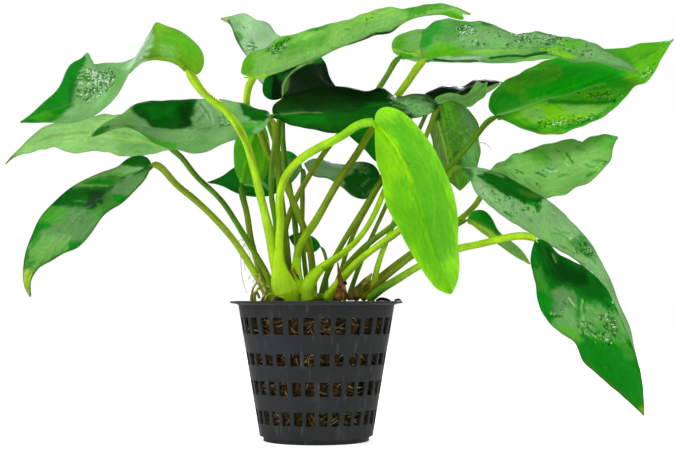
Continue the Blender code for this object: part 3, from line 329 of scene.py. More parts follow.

# How each blade is painted: its slot in the record, the colours of its upper and lower face, how
# strong its veins are, how far its margin waves and how far it is notched, in millimetres, and the
# faces that the marks lie on. An area is (colour, strength, softness, outline), a line is (colour,
# strength, half width, route) and a wet patch is (amount, outline), all placed in (x, z) like the
# leaves. The rib and the rim are (colour, strength). What a blade leaves out is as in PLAIN_BLADE.
# Every area or line in the two sheen colours is a painted reflection of the studio light on the glossy blade;
# the first blade's upper face is painted that sheen all over.
PLAIN_BLADE = dict(veins=0.25, wave=0.4, notch=0.15, shown="both", rib=None, rim=None, areas=(), lines=(),
                   wet=())
BLADES = {
    "leaf_01": dict(
        slot="leaf_young", upper="painted_sheen", lower="lobe", wave=0.5, notch=0.1, rib=("fresh", 0.15),
        rim=("dim_painted_sheen", 0.6),
        areas=[
            ("green", 1.0, 0.6, "-97,100 -96,103 -90,106 -84,114 -80,121 -76,124 -74,122.2 -75.3,118.5 "
                "-77.2,115 -78.2,111 -79.3,106.5 -81.5,103.5 -86,101"),
            ("dark", 0.6, 0.8, "-79.5,117 -77.2,116 -78,106 -79.8,106 -80,112"),
            ("grass", 0.7, 1.2, "-92,103 -87,104.6 -82.5,103.4 -88,101"),
            ("under", 0.7, 0.8, "-68,119.5 -61,119 -62,113 -68,105 -73,103 -70,107 -66,112 -66.5,117"),
            ("pale", 0.9, 1.0, "-62,119 -59,124.5 -55,129.5 -52.5,130.8 -53.4,126 -56,121.5 -58.5,119"),
            ("fresh_deep", 0.9, 1.4, "-52,129.5 -46,130.8 -41,128.6 -38,125 -41,122.5 -45,127 -50,127"),
            ("leaf_pale", 0.6, 1.2, "-50.5,127 -46,126.6 -45,122 -50,122.5"),
            ("young", 0.4, 1.6, "-53,133.4 -49,133 -51,130")],
        lines=[
            ("olive", 0.7, 0.35, "-56,123 -50,122.7 -45,121.2 -42,119"),
            ("moss", 0.7, 0.3, "-76.5,115.4 -74,115 -72.6,114.8"),
            ("moss", 0.7, 0.3, "-77,110 -75,109 -73.4,107.7"),
            ("moss", 0.5, 0.25, "-75,119.4 -72,117.8 -70,117.6")],
        wet=[
            (1.25, "-74,118.6 -66,118.6 -66,113 -70,110 -73.6,110.6"),
            (1.0, "-76.5,118.5 -72,119.5 -65,118.8 -64.3,115 -66.5,112 -70,109 -74,108 -77.3,110 "
                "-77.8,114")]),
    "leaf_02": dict(
        slot="leaf_fresh", upper="green", lower="under_pale", veins=0.3, notch=0.2, shown="lower",
        rib=("yellow_green", 0.2), rim=("dim_painted_sheen", 0.5),
        areas=[
            ("under", 0.75, 1.6, "-64,96 -50,96.5 -46,93.5 -54,90 -64,90.8"),
            ("brown", 0.95, 0.5, "-96.4,91 -98.6,91 -101,87 -98.6,87")],
        lines=[
            ("yellow_green", 0.6, 0.3, "-66,96.7 -57,95.8 -49,94.6"),
            ("grass", 0.5, 0.22, "-65,95 -56,94.1 -50,93.7"),
            ("grass", 0.35, 0.2, "-80,96.5 -72,95.4 -63,93.4")]),
    "leaf_03": dict(
        slot="leaf_dark", upper="under_grey", lower="under", wave=0.5, shown="upper", rim=("deep", 0.3),
        areas=[
            ("under_pale", 0.95, 0.7, "-75,100 -66,104 -60,107.5 -58,105.4 -60,102 -55.6,99 -60,99 -66,98 "
                "-74,95"),
            ("bright", 0.95, 0.4, "-73.5,96.5 -71.6,98.8 -69.5,100 -67,100.6 -66.4,99.8 -69,97.9 -71,96.8"),
            ("dark", 1.0, 0.6, "-60.5,105.8 -56,108.6 -50,109.4 -44,109.2 -38.5,109.5 -38.8,106 "
                "-40.3,102.5 -39.2,100.2 -43,99.3 -50,99.3 -53.5,100.2 -56,102.5"),
            ("deep", 0.85, 1.2, "-44.5,108 -40,108.5 -40.8,103 -39.6,100.5 -44,99.8"),
            ("green", 0.7, 0.9, "-56,106 -50,107 -46,106.6 -47,103.6 -52,102.4"),
            ("painted_sheen", 0.8, 0.8, "-52,99 -38,99.2 -34,98 -36,96 -46,96.2 -51,97.5"),
            ("under", 0.8, 1.0, "-46,96 -30,96 -28,93 -38,91 -46,92.5"),
            ("pale_leaf", 0.45, 1.0, "-38,108.4 -33,108.6 -32,104 -34,100 -37,101"),
            ("painted_sheen", 0.7, 1.0, "-38,108.8 -26,108.5 -24.5,105 -26,100 -34,98.5 -39,100.5 -40,103"),
            ("under_pale", 0.6, 0.8, "-32,109 -25.5,108 -25.5,105 -29,105"),
            ("grass", 0.8, 0.7, "-27,101.5 -17,101.8 -16.5,100 -22,99.4 -26,98.5"),
            ("dark", 1.0, 0.5, "-24.6,107.5 -20,107 -16,106 -15.6,103.2 -17,101.6 -20.5,102 -23.5,103.6"),
            ("bright", 0.9, 0.5, "-24.5,98.8 -20,99.4 -20.3,97.4 -23,96.6")],
        lines=[
            # These three pale streaks are painted sheen.
            ("pale", 0.6, 0.25, "-38.6,107.6 -36.4,105.4 -34.8,102.4"),
            ("pale", 0.6, 0.3, "-36.6,108 -34.2,105 -33.2,101.2"),
            ("pale", 0.5, 0.25, "-34,108 -31.8,105.4 -30.6,103.6"),
            ("dark", 0.4, 0.25, "-37.6,107.8 -35.4,105 -34,101.8"),
            ("grass", 0.9, 1.0, "-60.5,99.6 -57,97.3 -53,95.8 -49,94.7 -46,94"),
            ("dark", 0.6, 0.25, "-40,104 -38.4,105.8 -37.4,107.6"),
            ("dark", 0.5, 0.22, "-39,101.2 -36.8,103 -35.8,105"),
            ("moss", 0.7, 0.25, "-31.6,102.6 -30,103.3 -28,103"),
            ("moss", 0.7, 0.25, "-31.2,101 -29.4,100.4 -28,100.8"),
            ("moss", 0.5, 0.2, "-42,99.6 -38,99.2 -34,99.7")],
        wet=[
            (0.85, "-32.5,104 -27,104 -27,99.5 -32,99.5"),
            (0.45, "-40,104 -36,104 -34,96 -41,96")]),
    "leaf_04": dict(
        slot="leaf_dark", upper="moss_green", lower="under", veins=0.3, shown="upper", rim=("deep", 0.8),
        areas=[
            ("dim_painted_sheen", 0.8, 2.2, "-82,74 -74,74.5 -68,72 -71,65 -77,61.5 -85,61 -88,66"),
            ("leaf_pale", 0.55, 1.8, "-86,66 -80,65 -78,61 -84,58 -90,55 -92.5,60"),
            ("grass", 0.6, 1.2, "-89,69 -85,74.5 -80,74.3 -82,69.5"),
            ("leaf_pale", 0.8, 0.9, "-80,81 -72,85 -64,87 -55,87.4 -57,85.4 -64,84.3 -72,83 -77,80.8"),
            ("dim_painted_sheen", 0.95, 1.2, "-66.5,80.5 -60,84.8 -54.5,85 -56,81 -60,77.8 -64.5,77.4"),
            ("painted_sheen", 0.75, 0.5, "-64,87.2 -60.5,87.5 -54.5,87 -57,85.2 -62,85"),
            ("green", 0.95, 0.5, "-75.5,81.7 -70,83.3 -65.6,82.9 -64,82 -67,81.2 -71.5,81.5"),
            ("dark", 1.0, 0.7, "-86,74.8 -82,79 -78.5,80.3 -73,80.1 -67,80.9 -64.5,81.5 -66.3,79 "
                "-68.3,77.3 -69,75.2 -72,73.6 -76,73.9 -80,74.5"),
            ("deep", 0.9, 0.9, "-73.5,79.6 -68.5,79.9 -68.3,76.5 -70.5,74.3 -73.3,74.4"),
            ("green", 0.9, 0.6, "-65,78 -62,78.4 -60.4,77.2 -62.6,75.4 -64.8,76"),
            ("dark", 1.0, 0.4, "-64.5,87 -62,89.5 -57,90.8 -53,90.4 -52.4,88 -54.3,86.9 -58,87.3 -61,87.7"),
            ("green", 0.95, 0.6, "-93,62.5 -91.8,66.5 -90,69.3 -87,69 -84.5,68.2 -87.5,66.8 -89.5,65.3 "
                "-91,63.2"),
            ("green", 0.7, 0.5, "-94,56.5 -93.5,60.5 -92.2,59.5 -92.6,57"),
            ("green", 0.95, 0.5, "-80,60.2 -78.8,62.8 -76.5,63.4 -74.5,62.4 -77.5,60.2"),
            ("yellow_green", 0.9, 0.8, "-95,54 -91,54 -91,48 -90,44 -94,44")],
        lines=[
            ("dark", 0.9, 0.4, "-53.4,87.4 -56,86 -58.6,84.8"),
            ("dark", 0.5, 0.3, "-67,83.8 -64,83.9 -61.5,83.5"),
            ("leaf_pale", 0.6, 0.3, "-76,81.1 -70,81.2 -67,80.9"),
            ("grass", 0.4, 0.3, "-77.5,76 -75.5,76 -74,75.6"),
            ("grass", 0.5, 0.5, "-70,75 -69,72.5 -70.5,69"),
            ("olive", 0.8, 0.35, "-91.6,53 -92.3,50 -92.2,47.6")]),
    "leaf_05": dict(
        slot="leaf_fresh", upper="pale_leaf", lower="under", veins=0.2, notch=0.1, shown="upper",
        rim=("dim_painted_sheen", 0.7),
        areas=[
            ("pale", 0.6, 1.4, "-20.5,128.5 -16.5,128.5 -15,126 -18,124.6 -21,126"),
            ("mid", 0.8, 0.6, "-28,131.5 -25,131 -23.5,129 -25.5,127.5"),
            ("leaf_pale", 0.5, 0.8, "-29,136 -24,136 -24,132 -27.5,132"),
            ("straw", 0.7, 0.5, "-32,137 -28.8,137 -28.8,134 -32,135")],
        lines=[
            ("deep", 0.8, 0.35, "-28.4,134.6 -27,131 -25.2,127.6 -22.6,122.8")],
        wet=[
            (1.0, "-24.3,134 -21.2,134 -21.2,131 -24.3,131"),
            (1.0, "-23.2,129 -20,129 -19,125 -22.5,124.4")]),
    "leaf_06": dict(
        slot="leaf_fresh", upper="green", lower="under_bright", veins=0.3, wave=0.5, notch=0.25,
        rib=("fresh", 0.12), rim=("moss", 0.35),
        areas=[
            ("under_pale", 0.4, 1.6, "-20,118 -8,121.5 4,126 14,130 14,133 4,130 -8,126 -19,122"),
            ("grass", 0.6, 1.5, "-13,127 -4,128.5 4,131 2,127 -8,124"),
            ("painted_sheen", 0.5, 1.5, "14,134 26,136.5 27,133.5 16,131"),
            ("fresh", 0.95, 0.9, "-25.3,118.4 -23.4,122.6 -21,124.4 -20.2,121 -20.8,117.4 -24,117.4"),
            ("grass", 0.95, 0.35, "-17.6,124.2 -15,125.2 -12.5,127.6 -9,130 -8.2,129 -10.4,127 -11.6,125.8 "
                "-14,124.6"),
            ("green", 0.6, 0.3, "-13.8,126.8 -12,128.2 -11,128 -12.6,126.4"),
            ("bright", 0.8, 0.4, "-3.8,130.8 -1,133 1.5,133.6 4.2,133.9 3.2,132.5 0.5,131.2 -2,130.6"),
            ("lime", 0.35, 0.7, "14,137 18.5,138 18,136 15,134"),
            ("grass", 0.85, 1.0, "29,138.4 33,140.4 39,140.8 43,139.4 38,138.2 33,136.6 29.5,135.8"),
            ("fresh_deep", 1.0, 0.3, "39.5,137.4 43,138.2 46.2,137 48.5,134.9 44,135 41,136.6"),
            ("painted_sheen", 0.8, 0.5, "44.6,139.6 50.5,137.5 50.5,136 46.5,137.8")],
        lines=[
            ("lime", 1.0, 0.35, "-24.6,117 -21.5,116.3 -18.6,116.5 -14.5,118"),
            ("under_pale", 0.8, 0.5, "-16,117.9 -9,120.3 0,123.4 8,127.2 15,130"),
            ("under_pale", 0.7, 0.35, "31,135.7 36,137.3 42,138.3 45,138.4"),
            ("deep", 0.9, 0.35, "0.5,122 6,124.4 11,127 15,128.6 18,130.4"),
            ("deep", 1.0, 0.5, "19,130.7 24,131.2 26,132.6"),
            ("deep", 0.8, 0.3, "26,132.6 31,134.9 37,136.5"),
            ("grass", 0.5, 0.22, "4.5,126 6.8,126.4 8.2,127.2"),
            ("green", 0.7, 0.25, "-12.6,124.6 -11.6,124.5 -11.2,123.8"),
            ("dark", 0.6, 0.25, "9.4,132 10.4,131.8")],
        wet=[
            (1.0, "-17,125.5 -8.5,129.5 -9.5,123 -13,122.5"),
            (0.6, "-4,133 5,134 5,131 -3,129.5"),
            (0.7, "13.5,137.5 19,138.5 18,134 14,133.5"),
            (0.5, "29,139 40,140.6 40,138.4 30,136.4")]),
    # Leaf 7 lies in the shade behind the leaves in front of it, and its near-black green is painted shade.
    "leaf_07": dict(
        slot="leaf_dark", upper="black_green", lower="black_green", veins=0.15, notch=0.1,
        rim=("dark", 0.3),
        areas=[
            ("dark", 0.8, 0.7, "-18,115.5 -15,117 -14,113 -14.5,109 -18,110"),
            ("dark", 0.7, 0.8, "-12.5,117.2 -9,117.6 -9.6,114.6 -12,115"),
            ("green", 0.7, 0.6, "-5,121.5 2,124 2,121.2 -3,120.4"),
            ("moss", 0.8, 0.35, "-10.6,115.4 -9,115.6 -9,111.8 -10.6,110.4")],
        lines=[
            ("olive_grey", 0.95, 0.28, "-10.9,110.4 -10.8,113.5 -9.6,116 -7.5,118.2 -4,120.2 -1,121.2"),
            ("painted_sheen", 0.9, 0.3, "-6.2,119.2 -4.6,120.1 -3.4,120.9")],
        wet=[
            (0.55, "-9,114.8 -3,115.8 1,114.5 1,112.3 -5,112 -9,112.4")]),
    "leaf_08": dict(
        slot="leaf_dark", upper="deep", lower="deep", rim=("black_green", 0.4),
        areas=[
            ("black_green", 0.85, 1.6, "-14,108 -4,107 10,108 22,110 20,114 0,114 -12,111"),
            ("dark", 0.8, 1.4, "-14,104.5 -2,104.2 10,104.8 16,107 22,107 18,102 6,99 -8,100"),
            ("green", 0.5, 1.2, "-12,104 0,104.4 4,101.5 -4,100.6"),
            ("dim_painted_sheen", 0.95, 1.1, "23.5,109.6 27,110.2 33.5,109.8 36.5,107.5 38,105 36.5,102.8 "
                "32.5,102.6 29,104.8 25,106.8"),
            ("painted_sheen", 0.8, 0.9, "27,109 37,106.4 36.6,103 32,103.4 29,105.6"),
            ("black_green", 0.9, 0.4, "31,102.6 35,102.2 38,103 38,99 32,100")],
        lines=[
            ("dark", 0.7, 0.4, "16,106.5 21,107.5 26,107.5 29,106.4"),
            ("olive_grey", 0.5, 0.18, "-11.5,104.2 -4,104.7 2,104.7"),
            ("painted_sheen", 0.4, 0.16, "36,109 38.5,107.8")],
        wet=[
            (0.7, "22,109.5 27,110.2 34,109.8 38,105 36,102.6 30,103.5 24,106"),
            (0.45, "16,106 26,109 30,105 20,104")]),
    "leaf_09": dict(
        slot="leaf_young", upper="young", lower="young", veins=0.16, wave=0.15, notch=0.0,
        rim=("young", 0.6),
        areas=[
            ("fresh_deep", 0.95, 2.4, "21,101 27,104 33,99 38.5,91 41.5,83 44,75 44.5,62 40,55 36,60 "
                "32.5,68 31,77 29.5,85 25.5,95"),
            ("fresh", 0.85, 2.0, "31,76 27.5,84 24,82 23,74 27,66 33,58 38,50 43,46 45,52 42,58 36,62"),
            ("young", 0.6, 1.6, "39,56 45.5,58 45,48 41,47")],
        lines=[
            ("lime", 0.8, 0.4, "19,101.3 22,98.3 25.4,93.6 28,88 30.6,82"),
            ("young", 0.55, 0.3, "30.6,82 32.8,76.5 34.4,71"),
            ("young", 0.3, 0.3, "27.4,88 28.6,80 28,73"),
            ("young", 0.25, 0.3, "31,96 36,86 38,76 37.5,66"),
            ("young", 0.25, 0.3, "34.5,71 36.5,62 39,54"),
            ("under_pale", 0.4, 0.3, "31,94.6 31.6,94.3")],
        wet=[
            (0.3, "37,64.5 42,64.5 42,60 37,60")]),
    "leaf_10": dict(
        slot="leaf_fresh", upper="under", lower="under", veins=0.3, notch=0.25, rim=("dark", 0.5),
        areas=[
            ("mid", 0.6, 1.4, "39,134 49,135.4 52,132 44,128.6 38,127"),
            ("painted_sheen", 0.85, 1.6, "48,131.5 60,132 72,130.2 80,127.5 66,126.4 52,126.4 44,127.4"),
            ("bright", 0.9, 1.0, "33,125.5 34.2,131 37.5,134.4 40,134.8 41,131.5 37.8,128.4 36.6,125.4"),
            ("fresh_deep", 1.0, 0.4, "34.5,122.4 36,125.6 38.5,127 43,126.9 46.2,125.3 49.5,123.9 44,122.9 "
                "38,122.7"),
            ("pale", 0.75, 0.5, "38,122.4 46,122.8 53,122.9 53,121 44,120.8"),
            ("leaf_pale", 0.7, 0.8, "49,124.8 60,126 70,125.4 66,122.8 54,122.4"),
            ("fresh", 0.7, 1.0, "79,129.2 88,127 84,124.6 76,126.2"),
            ("young", 0.85, 0.6, "71.5,125.6 78,125.4 84,122.6 80,121.8 74,124"),
            ("painted_sheen", 0.8, 1.2, "86,127 98,122.6 104,117.5 96,119.4 86,120.6")],
        lines=[
            ("fresh", 0.7, 0.3, "36.2,126 40,127.4 44,126.8 48,124.8"),
            ("young", 0.6, 0.3, "48,124 55,124.7 64,124.6"),
            ("deep", 0.9, 0.3, "38,121.9 45,121.3 52,121.5"),
            ("dark", 1.0, 0.4, "56,122.4 62,122.9 67,122.8 70,123.6 74,124"),
            ("dark", 0.6, 0.5, "71,131.2 75,130.4"),
            ("dark", 0.7, 0.5, "53.5,133.6 56,133")],
        wet=[
            (0.6, "44,133 56,134 70,131 84,128 98,122 92,120.6 78,123 60,124.6 46,126"),
            (1.2, "44,132.5 50,134 52,130 47,128.6"),
            (0.75, "49,130.5 60,131 60,126.5 50,126"),
            (1.1, "63,130.5 80,130 79,126.4 64,127"),
            (0.8, "81,127 96,124 92,121.5 82,124")]),
    "leaf_11": dict(
        slot="leaf_fresh", upper="leaf_pale", lower="leaf_pale", wave=0.2, notch=0.1, rim=("fresh", 0.5),
        areas=[
            ("fresh_deep", 0.9, 1.0, "23.5,126 25.5,130.2 28.5,130 28,127 27.4,125"),
            ("under_pale", 0.6, 1.0, "30,130 33.5,130 33,126 30,126"),
            ("grass", 0.85, 0.35, "26,124.8 31,124.2 31,122.8 27,122.8"),
            ("yellow_green", 0.8, 0.5, "32,125.4 35,125.4 35,123 32,123")],
        lines=[
            ("lime", 0.8, 0.2, "24.4,125.4 28,124.2 32.4,123.6")]),
    "leaf_12": dict(
        slot="leaf_fresh", upper="grass", lower="under", veins=0.3, notch=0.25, shown="upper",
        rim=("grass", 0.4),
        areas=[
            ("fresh_deep", 0.5, 2.4, "58,113 66,117.5 72,120 70,112 62,109"),
            ("bright", 0.9, 1.2, "54.5,106 56,110.5 59,112 65,110 66,107.5 61,105 57.4,103.8"),
            ("vivid", 1.0, 1.1, "76,122.5 81,122 86,120 93,120.3 98,118.6 104,117 99,114.3 92,112.6 "
                "84,110.8 76,109.6 69,109 68,112 73,114 79,117 79,119.5"),
            ("grass", 1.0, 0.3, "64,115.6 69,118.6 76,118.9 79,118 78,116 74,114.5 69,114"),
            ("young", 0.7, 1.6, "62,104 69,107 78,107.4 86,107 94,107.5 92,104.6 84,101.8 75,101 68,101.8"),
            ("leaf_pale", 0.8, 0.8, "66,106 72,106 74,103 70,101.5 66,103"),
            ("under_pale", 0.6, 1.2, "80,107 94,107 92,105 80,103.6"),
            ("young", 0.6, 1.4, "99,116 104,119.4 108,121 107.5,115 103,113.6"),
            ("fresh", 0.8, 0.8, "84,110.6 94,111.8 98,110.5 94,108.8 86,109.2"),
            ("bright", 1.0, 0.5, "64,101 70,99.9 77,99.8 82,100.8 90,103.8 94,106 90,102.5 80,99 70,98.8"),
            ("young", 0.9, 0.3, "71,99 77,99.3 81,99.6 78,98 72,98"),
            ("fresh", 0.9, 1.6, "100,117.5 104,121 110,125.5 116,129.5 112,121 107.5,114.5 102,113"),
            ("fresh_deep", 0.9, 0.7, "98,125 104,127 112,127.6 106,123.5 102,121.6"),
            ("painted_sheen", 0.7, 0.5, "94,123 98,122 103,118.4 98,118.8 92,121.4")],
        lines=[
            ("fresh", 0.8, 0.25, "62,116.4 67,118.3 73,118.9 78,118.7 79,117.5 77,115.8 73.5,114.6"),
            ("leaf_pale", 0.7, 0.28, "58,103.8 64,105.4 70,107.6 76,109.6"),
            ("leaf_pale", 0.6, 0.3, "76,109.6 81,110.5 87,112.6 93,114"),
            ("green", 0.9, 0.7, "75,108.3 84,107.8 91,107.8 96,108.4"),
            ("yellow_green", 0.7, 0.25, "92,121.4 96,120.8 98,119.4"),
            ("moss", 0.7, 0.4, "66,100 71,98.6 74,98.4 80,98.4")],
        wet=[
            (1.0, "69,102.4 80,103 90,105.4 96,107.6 94,104.6 84,100.6 74,99"),
            (0.8, "84,111.4 95,112 99,110 96,107.8 86,108.4"),
            (1.0, "103,117 107,119.4 110.5,122.8 109,118 105,114"),
            (0.6, "66,107 72,107 74,103 69,102")]),
    "leaf_13": dict(
        slot="leaf_fresh", upper="leaf_pale", lower="under", notch=0.35, shown="upper", rim=("dark", 0.5),
        areas=[
            ("mid", 0.7, 0.8, "56,87 61,91 63,89 61,87"),
            ("mid", 0.5, 0.6, "65,92.2 70,93.8 71,92.6 67,91"),
            ("grass", 0.6, 1.0, "68,92 74,92.4 75,88 70,88"),
            ("painted_sheen", 0.45, 1.4, "72,88 78,88.4 78,84.6 71,85"),
            ("grass", 0.55, 1.2, "88,96.8 97,97.6 96,92.8 90,93.4"),
            ("bright", 0.6, 0.8, "93,97.4 97.6,97.6 96.4,95.4 94,96"),
            ("mid", 0.6, 0.5, "83,93.8 86.4,93 87,91.4 84,92.4"),
            ("dim_painted_sheen", 0.4, 1.6, "57,86.5 64,85 72,80 70,78 60,82"),
            ("green", 0.7, 0.4, "86,84.6 90,85.8 88,84 86.6,83.2")],
        lines=[
            # These two pale lines are painted glints beside the dark wet marks.
            ("pale", 0.8, 0.25, "74,85.8 75.6,85.4 77,86"),
            ("pale", 0.7, 0.2, "79.8,88.6 81,87.4"),
            ("dark", 0.7, 0.22, "74.2,86.8 75.6,86.2 77.2,86.8"),
            ("dark", 0.6, 0.22, "77,92.4 78.6,91.6"),
            ("mid", 0.8, 0.3, "73.4,90.6 75,89.6"),
            ("dark", 0.6, 0.22, "86.4,88.2 88,87 89.4,87.2"),
            ("mid", 0.7, 0.3, "60,85.4 61.6,84.4"),
            ("dark", 0.5, 0.2, "67,82.6 68.6,81.2"),
            ("dark", 0.9, 0.28, "80.3,91.4 81.4,90 82.4,88.4"),
            ("dark", 1.0, 0.28, "70.6,85.1 72.2,84.7 73.6,83.8"),
            ("dark", 0.7, 0.25, "64,86.2 65.4,85.6 66.4,84.8"),
            ("green", 0.7, 0.3, "77.4,83.8 79,84.6 81,84.7"),
            ("grass", 0.7, 0.3, "79,90.6 79.8,89.4"),
            ("mid", 0.8, 0.35, "89,89.3 91,89.2 93.6,88.6"),
            ("dark", 0.5, 0.25, "71.2,81.6 72,80.2"),
            ("dark", 0.5, 0.25, "63,84.4 64,83.4")],
        wet=[
            (0.8, "70,87 76,88 76,84.6 71,84"),
            (0.6, "76,87 84,86 84,83 77,83"),
            (0.8, "89,89.6 94.5,89.6 91.5,85 89.5,86.5"),
            (0.5, "62,87 67,87 66,83 62,83"),
            (0.5, "70,82.4 73,82 73,79 70,80")]),
    "leaf_14": dict(
        slot="leaf_dark", upper="under_grey", lower="under", veins=0.3, shown="upper", rim=("moss", 0.55),
        areas=[
            ("dark", 0.85, 0.7, "45.5,88 50,86.5 50.5,84.6 49.5,81 47,84"),
            ("dark", 1.0, 0.5, "51.5,84.2 55,86 60,85.2 65,82.8 70,79.6 73.3,77 71,74.6 67,75.2 62.6,77.4 "
                "58.6,79 55,81.6"),
            ("moss", 0.75, 0.7, "65,79.8 70,79 72.6,77.2 69.4,77 65.6,78.4"),
            ("green", 0.95, 0.35, "66.6,76.4 69,75.6 72.2,75.2 72,73 70.8,72.3 69.8,74.3 68.2,74.8"),
            ("pale", 0.45, 0.9, "50.5,83 54,81.4 56,77 53,77 50.8,80"),
            ("leaf_pale", 0.5, 1.8, "72,71 82,64 86,58 80,59 72,65"),
            ("green", 0.7, 0.6, "80.6,63 84.6,65.4 88.6,61 89.5,58.2 86,58.2 83,60.4"),
            ("under_grey", 0.4, 1.6, "56,76 66,70 64,68.4 55,73")],
        lines=[
            ("dim_painted_sheen", 0.8, 0.35, "52,85.6 56,85.4 60,84"),
            ("green", 0.7, 0.25, "75.6,65.8 78,65.4 80.4,64.2"),
            ("moss", 0.6, 0.22, "76,67.4 78.4,66.2 81,65.6"),
            ("green", 0.9, 0.4, "60.8,72.6 61.8,72 62.6,71.4"),
            ("moss", 0.5, 0.2, "55.4,78.4 56.4,78.8 57.3,78.2 56.4,77.6"),
            ("moss", 0.4, 0.2, "60,76.4 62,75.6 64,75"),
            ("moss", 0.5, 0.25, "82,57.3 85,55.8 88,53.6"),
            # This pale line is a painted highlight.
            ("pale", 0.9, 0.3, "86,54.8 88,53.2"),
            ("moss", 0.6, 0.22, "53,80.6 55,80.8 57.4,80"),
            ("moss", 0.5, 0.2, "57,75.8 59.6,75.4"),
            ("moss", 0.6, 0.25, "78.4,61.4 80.6,60.4 82.6,59"),
            ("mid", 0.7, 0.3, "84,62 87,59.4 89.4,56"),
            ("moss", 0.5, 0.22, "67,70.6 69.4,69.6")],
        wet=[
            (0.85, "81,65 86,65 89.5,59 87,57.6 82,60.4"),
            (0.6, "64,77 72,76 72,71 66,73"),
            (0.6, "51,81 60,79 68,74 66,69 54,75"),
            (0.4, "74,68 81,66 82,60 75,62")]),
    "leaf_15": dict(
        slot="leaf_dark", upper="green", lower="under", shown="upper", rim=("dark", 0.6),
        areas=[
            ("dark", 1.0, 1.4, "69,65 75,64 83,57.5 90,52 94,46 92,43.4 86,44.6 81,49.5 76,49 72,53 70,58"),
            ("deep", 0.85, 2.0, "73,61 78,57.5 86,54 86,50 79,49.5 75,54"),
            ("mid", 0.8, 0.9, "69,54 71.5,55 74,49 73.5,46.5 70.6,48"),
            ("dim_painted_sheen", 0.95, 0.9, "75.5,47.5 79,48.8 82,46.8 83.3,43.6 80,40.6 76.8,40.3 75,43.5"),
            ("under", 0.9, 1.2, "79,41.4 83,43 88,43.4 93,41.4 97,40 100,34 98.4,31 92,32.3 86,34.2 "
                "83.4,31 78,33 74.6,36.5 76.4,39.2"),
            ("fresh_deep", 0.6, 0.8, "75,36.6 82.6,35.4 84,31 79,32"),
            ("painted_sheen", 0.5, 0.8, "80,41.4 84,42 86,37 81,35.6"),
            ("green", 0.75, 0.7, "83.6,44 86.6,44 85.4,40 83,37 82.4,40.6"),
            ("mid", 0.7, 0.8, "88,37 95,37.4 99,33 97,30.6 90,31.4 87,33.6"),
            ("mid", 0.75, 0.9, "96.6,30 101.6,31 102.5,25.5 98,25.6"),
            ("green", 0.75, 1.6, "86,28.6 96,27 101,22 104,12 96,17 88,23"),
            ("olive", 0.8, 0.7, "103,11 105,11 105.5,7 102.4,7.4")],
        lines=[
            ("under_pale", 0.7, 0.3, "85,44.6 84.6,41 85.6,37.4 88.6,35.6"),
            ("dark", 1.0, 0.3, "74,39.8 76,39.4 78.2,39.1"),
            ("dark", 0.9, 0.3, "90,39.4 92.6,39.2 95,38.4"),
            ("green", 0.9, 0.7, "84.6,33 86,32.6"),
            ("dark", 0.8, 0.3, "86,37.6 88.2,36.4"),
            ("green", 0.9, 0.5, "87.6,34.6 90,34.2 92,33.6"),
            ("green", 0.8, 0.4, "90,32.6 91,30.8"),
            ("mid", 0.6, 0.3, "94,33.6 97,32"),
            ("dark", 0.8, 0.4, "99,31 101,29.4 102,27.6"),
            ("moss", 0.8, 0.4, "86,25 90,20.8 95.4,16.3 101,11"),
            ("olive_grey", 0.5, 0.3, "75.6,59 76.6,56.6"),
            # This pale line is a painted glint above the dark wet dash.
            ("pale", 0.6, 0.2, "74.4,40.4 76.4,39.9"),
            ("pale", 0.6, 0.25, "80.4,45 82.6,42.6"),
            ("grass", 0.6, 0.4, "88.6,32.6 92.4,31.4 96.4,31.6 99.4,30"),
            ("under_pale", 0.6, 0.35, "84,34.6 88,32.8 92,33")],
        wet=[
            (0.8, "76,38.6 84,38 92,41 97,38 95,30 88,30 85,33"),
            (0.7, "93,46.5 97,44 96,40 92,42"),
            (0.5, "96,31 102,32 103,26 98,26"),
            (0.5, "76,47 83,46 83,40 77,40"),
            (0.3, "90,26 100,24 100,18 92,20")]),
    "leaf_16": dict(
        slot="leaf_fresh", upper="yellow_green", lower="green", veins=0.15, wave=0.2, notch=0.1,
        rib=("olive", 0.3), rim=("olive", 0.3),
        areas=[
            ("green", 1.0, 0.5, "48,70.5 49.8,74 54,74 57,71 60,65.6 58,65 55,67.4 51.6,69.4"),
            ("painted_sheen", 0.9, 0.9, "60,64.6 64,62 68,57.5 64,57.6 58,62.4"),
            ("under_pale", 0.5, 0.6, "52.4,68.4 56.6,66.2 56,65 53,66.6")],
        lines=[
            ("olive", 0.9, 0.25, "49,69.6 53,67 57.4,63.4 62,60")]),
    "leaf_17": dict(
        slot="leaf_fresh", upper="grove", lower="grove", veins=0.75, wave=0.3, notch=0.5,
        rib=("yellow_green", 0.25), rim=("moss", 0.4),
        areas=[
            ("olive_grey", 0.9, 0.7, "35.5,100 38.8,102 40.2,96 42,89 43,83 38,88 36,95"),
            ("dark", 0.7, 0.8, "37,108.5 40.5,107.6 40.5,103 38.6,101.4 36.6,104"),
            ("fresh", 0.5, 0.9, "40.8,108 45,108.6 43,104.4 40.8,103"),
            ("dim_painted_sheen", 0.85, 1.0, "46,107 49,106.5 51.6,102 52,98 49,98 46.4,102"),
            ("under", 0.8, 0.9, "47,96 52.6,97 52,87 48,86 46.6,91"),
            ("dark", 0.6, 0.8, "43.6,91 46.4,92.6 46,86 44,84.6")],
        lines=[
            ("yellow_green", 0.8, 0.4, "39,101.6 40.6,96 42,90.6 43,85.6"),
            ("under", 0.7, 0.25, "42,98 45,101 47.6,104.6"),
            ("under", 0.6, 0.22, "42.6,95 46,97.6 50,100"),
            ("under", 0.5, 0.22, "43,91.6 45.6,92.6 48,95")]),
    "leaf_18": dict(
        slot="leaf_dark", upper="black_green", lower="black_green", veins=0.1, rim=("deep", 0.3),
        areas=[
            ("under_pale", 0.95, 0.3, "43,105.6 47,107.6 52,109.6 58,112.6 60.5,114.6 57,113.6 52,112 "
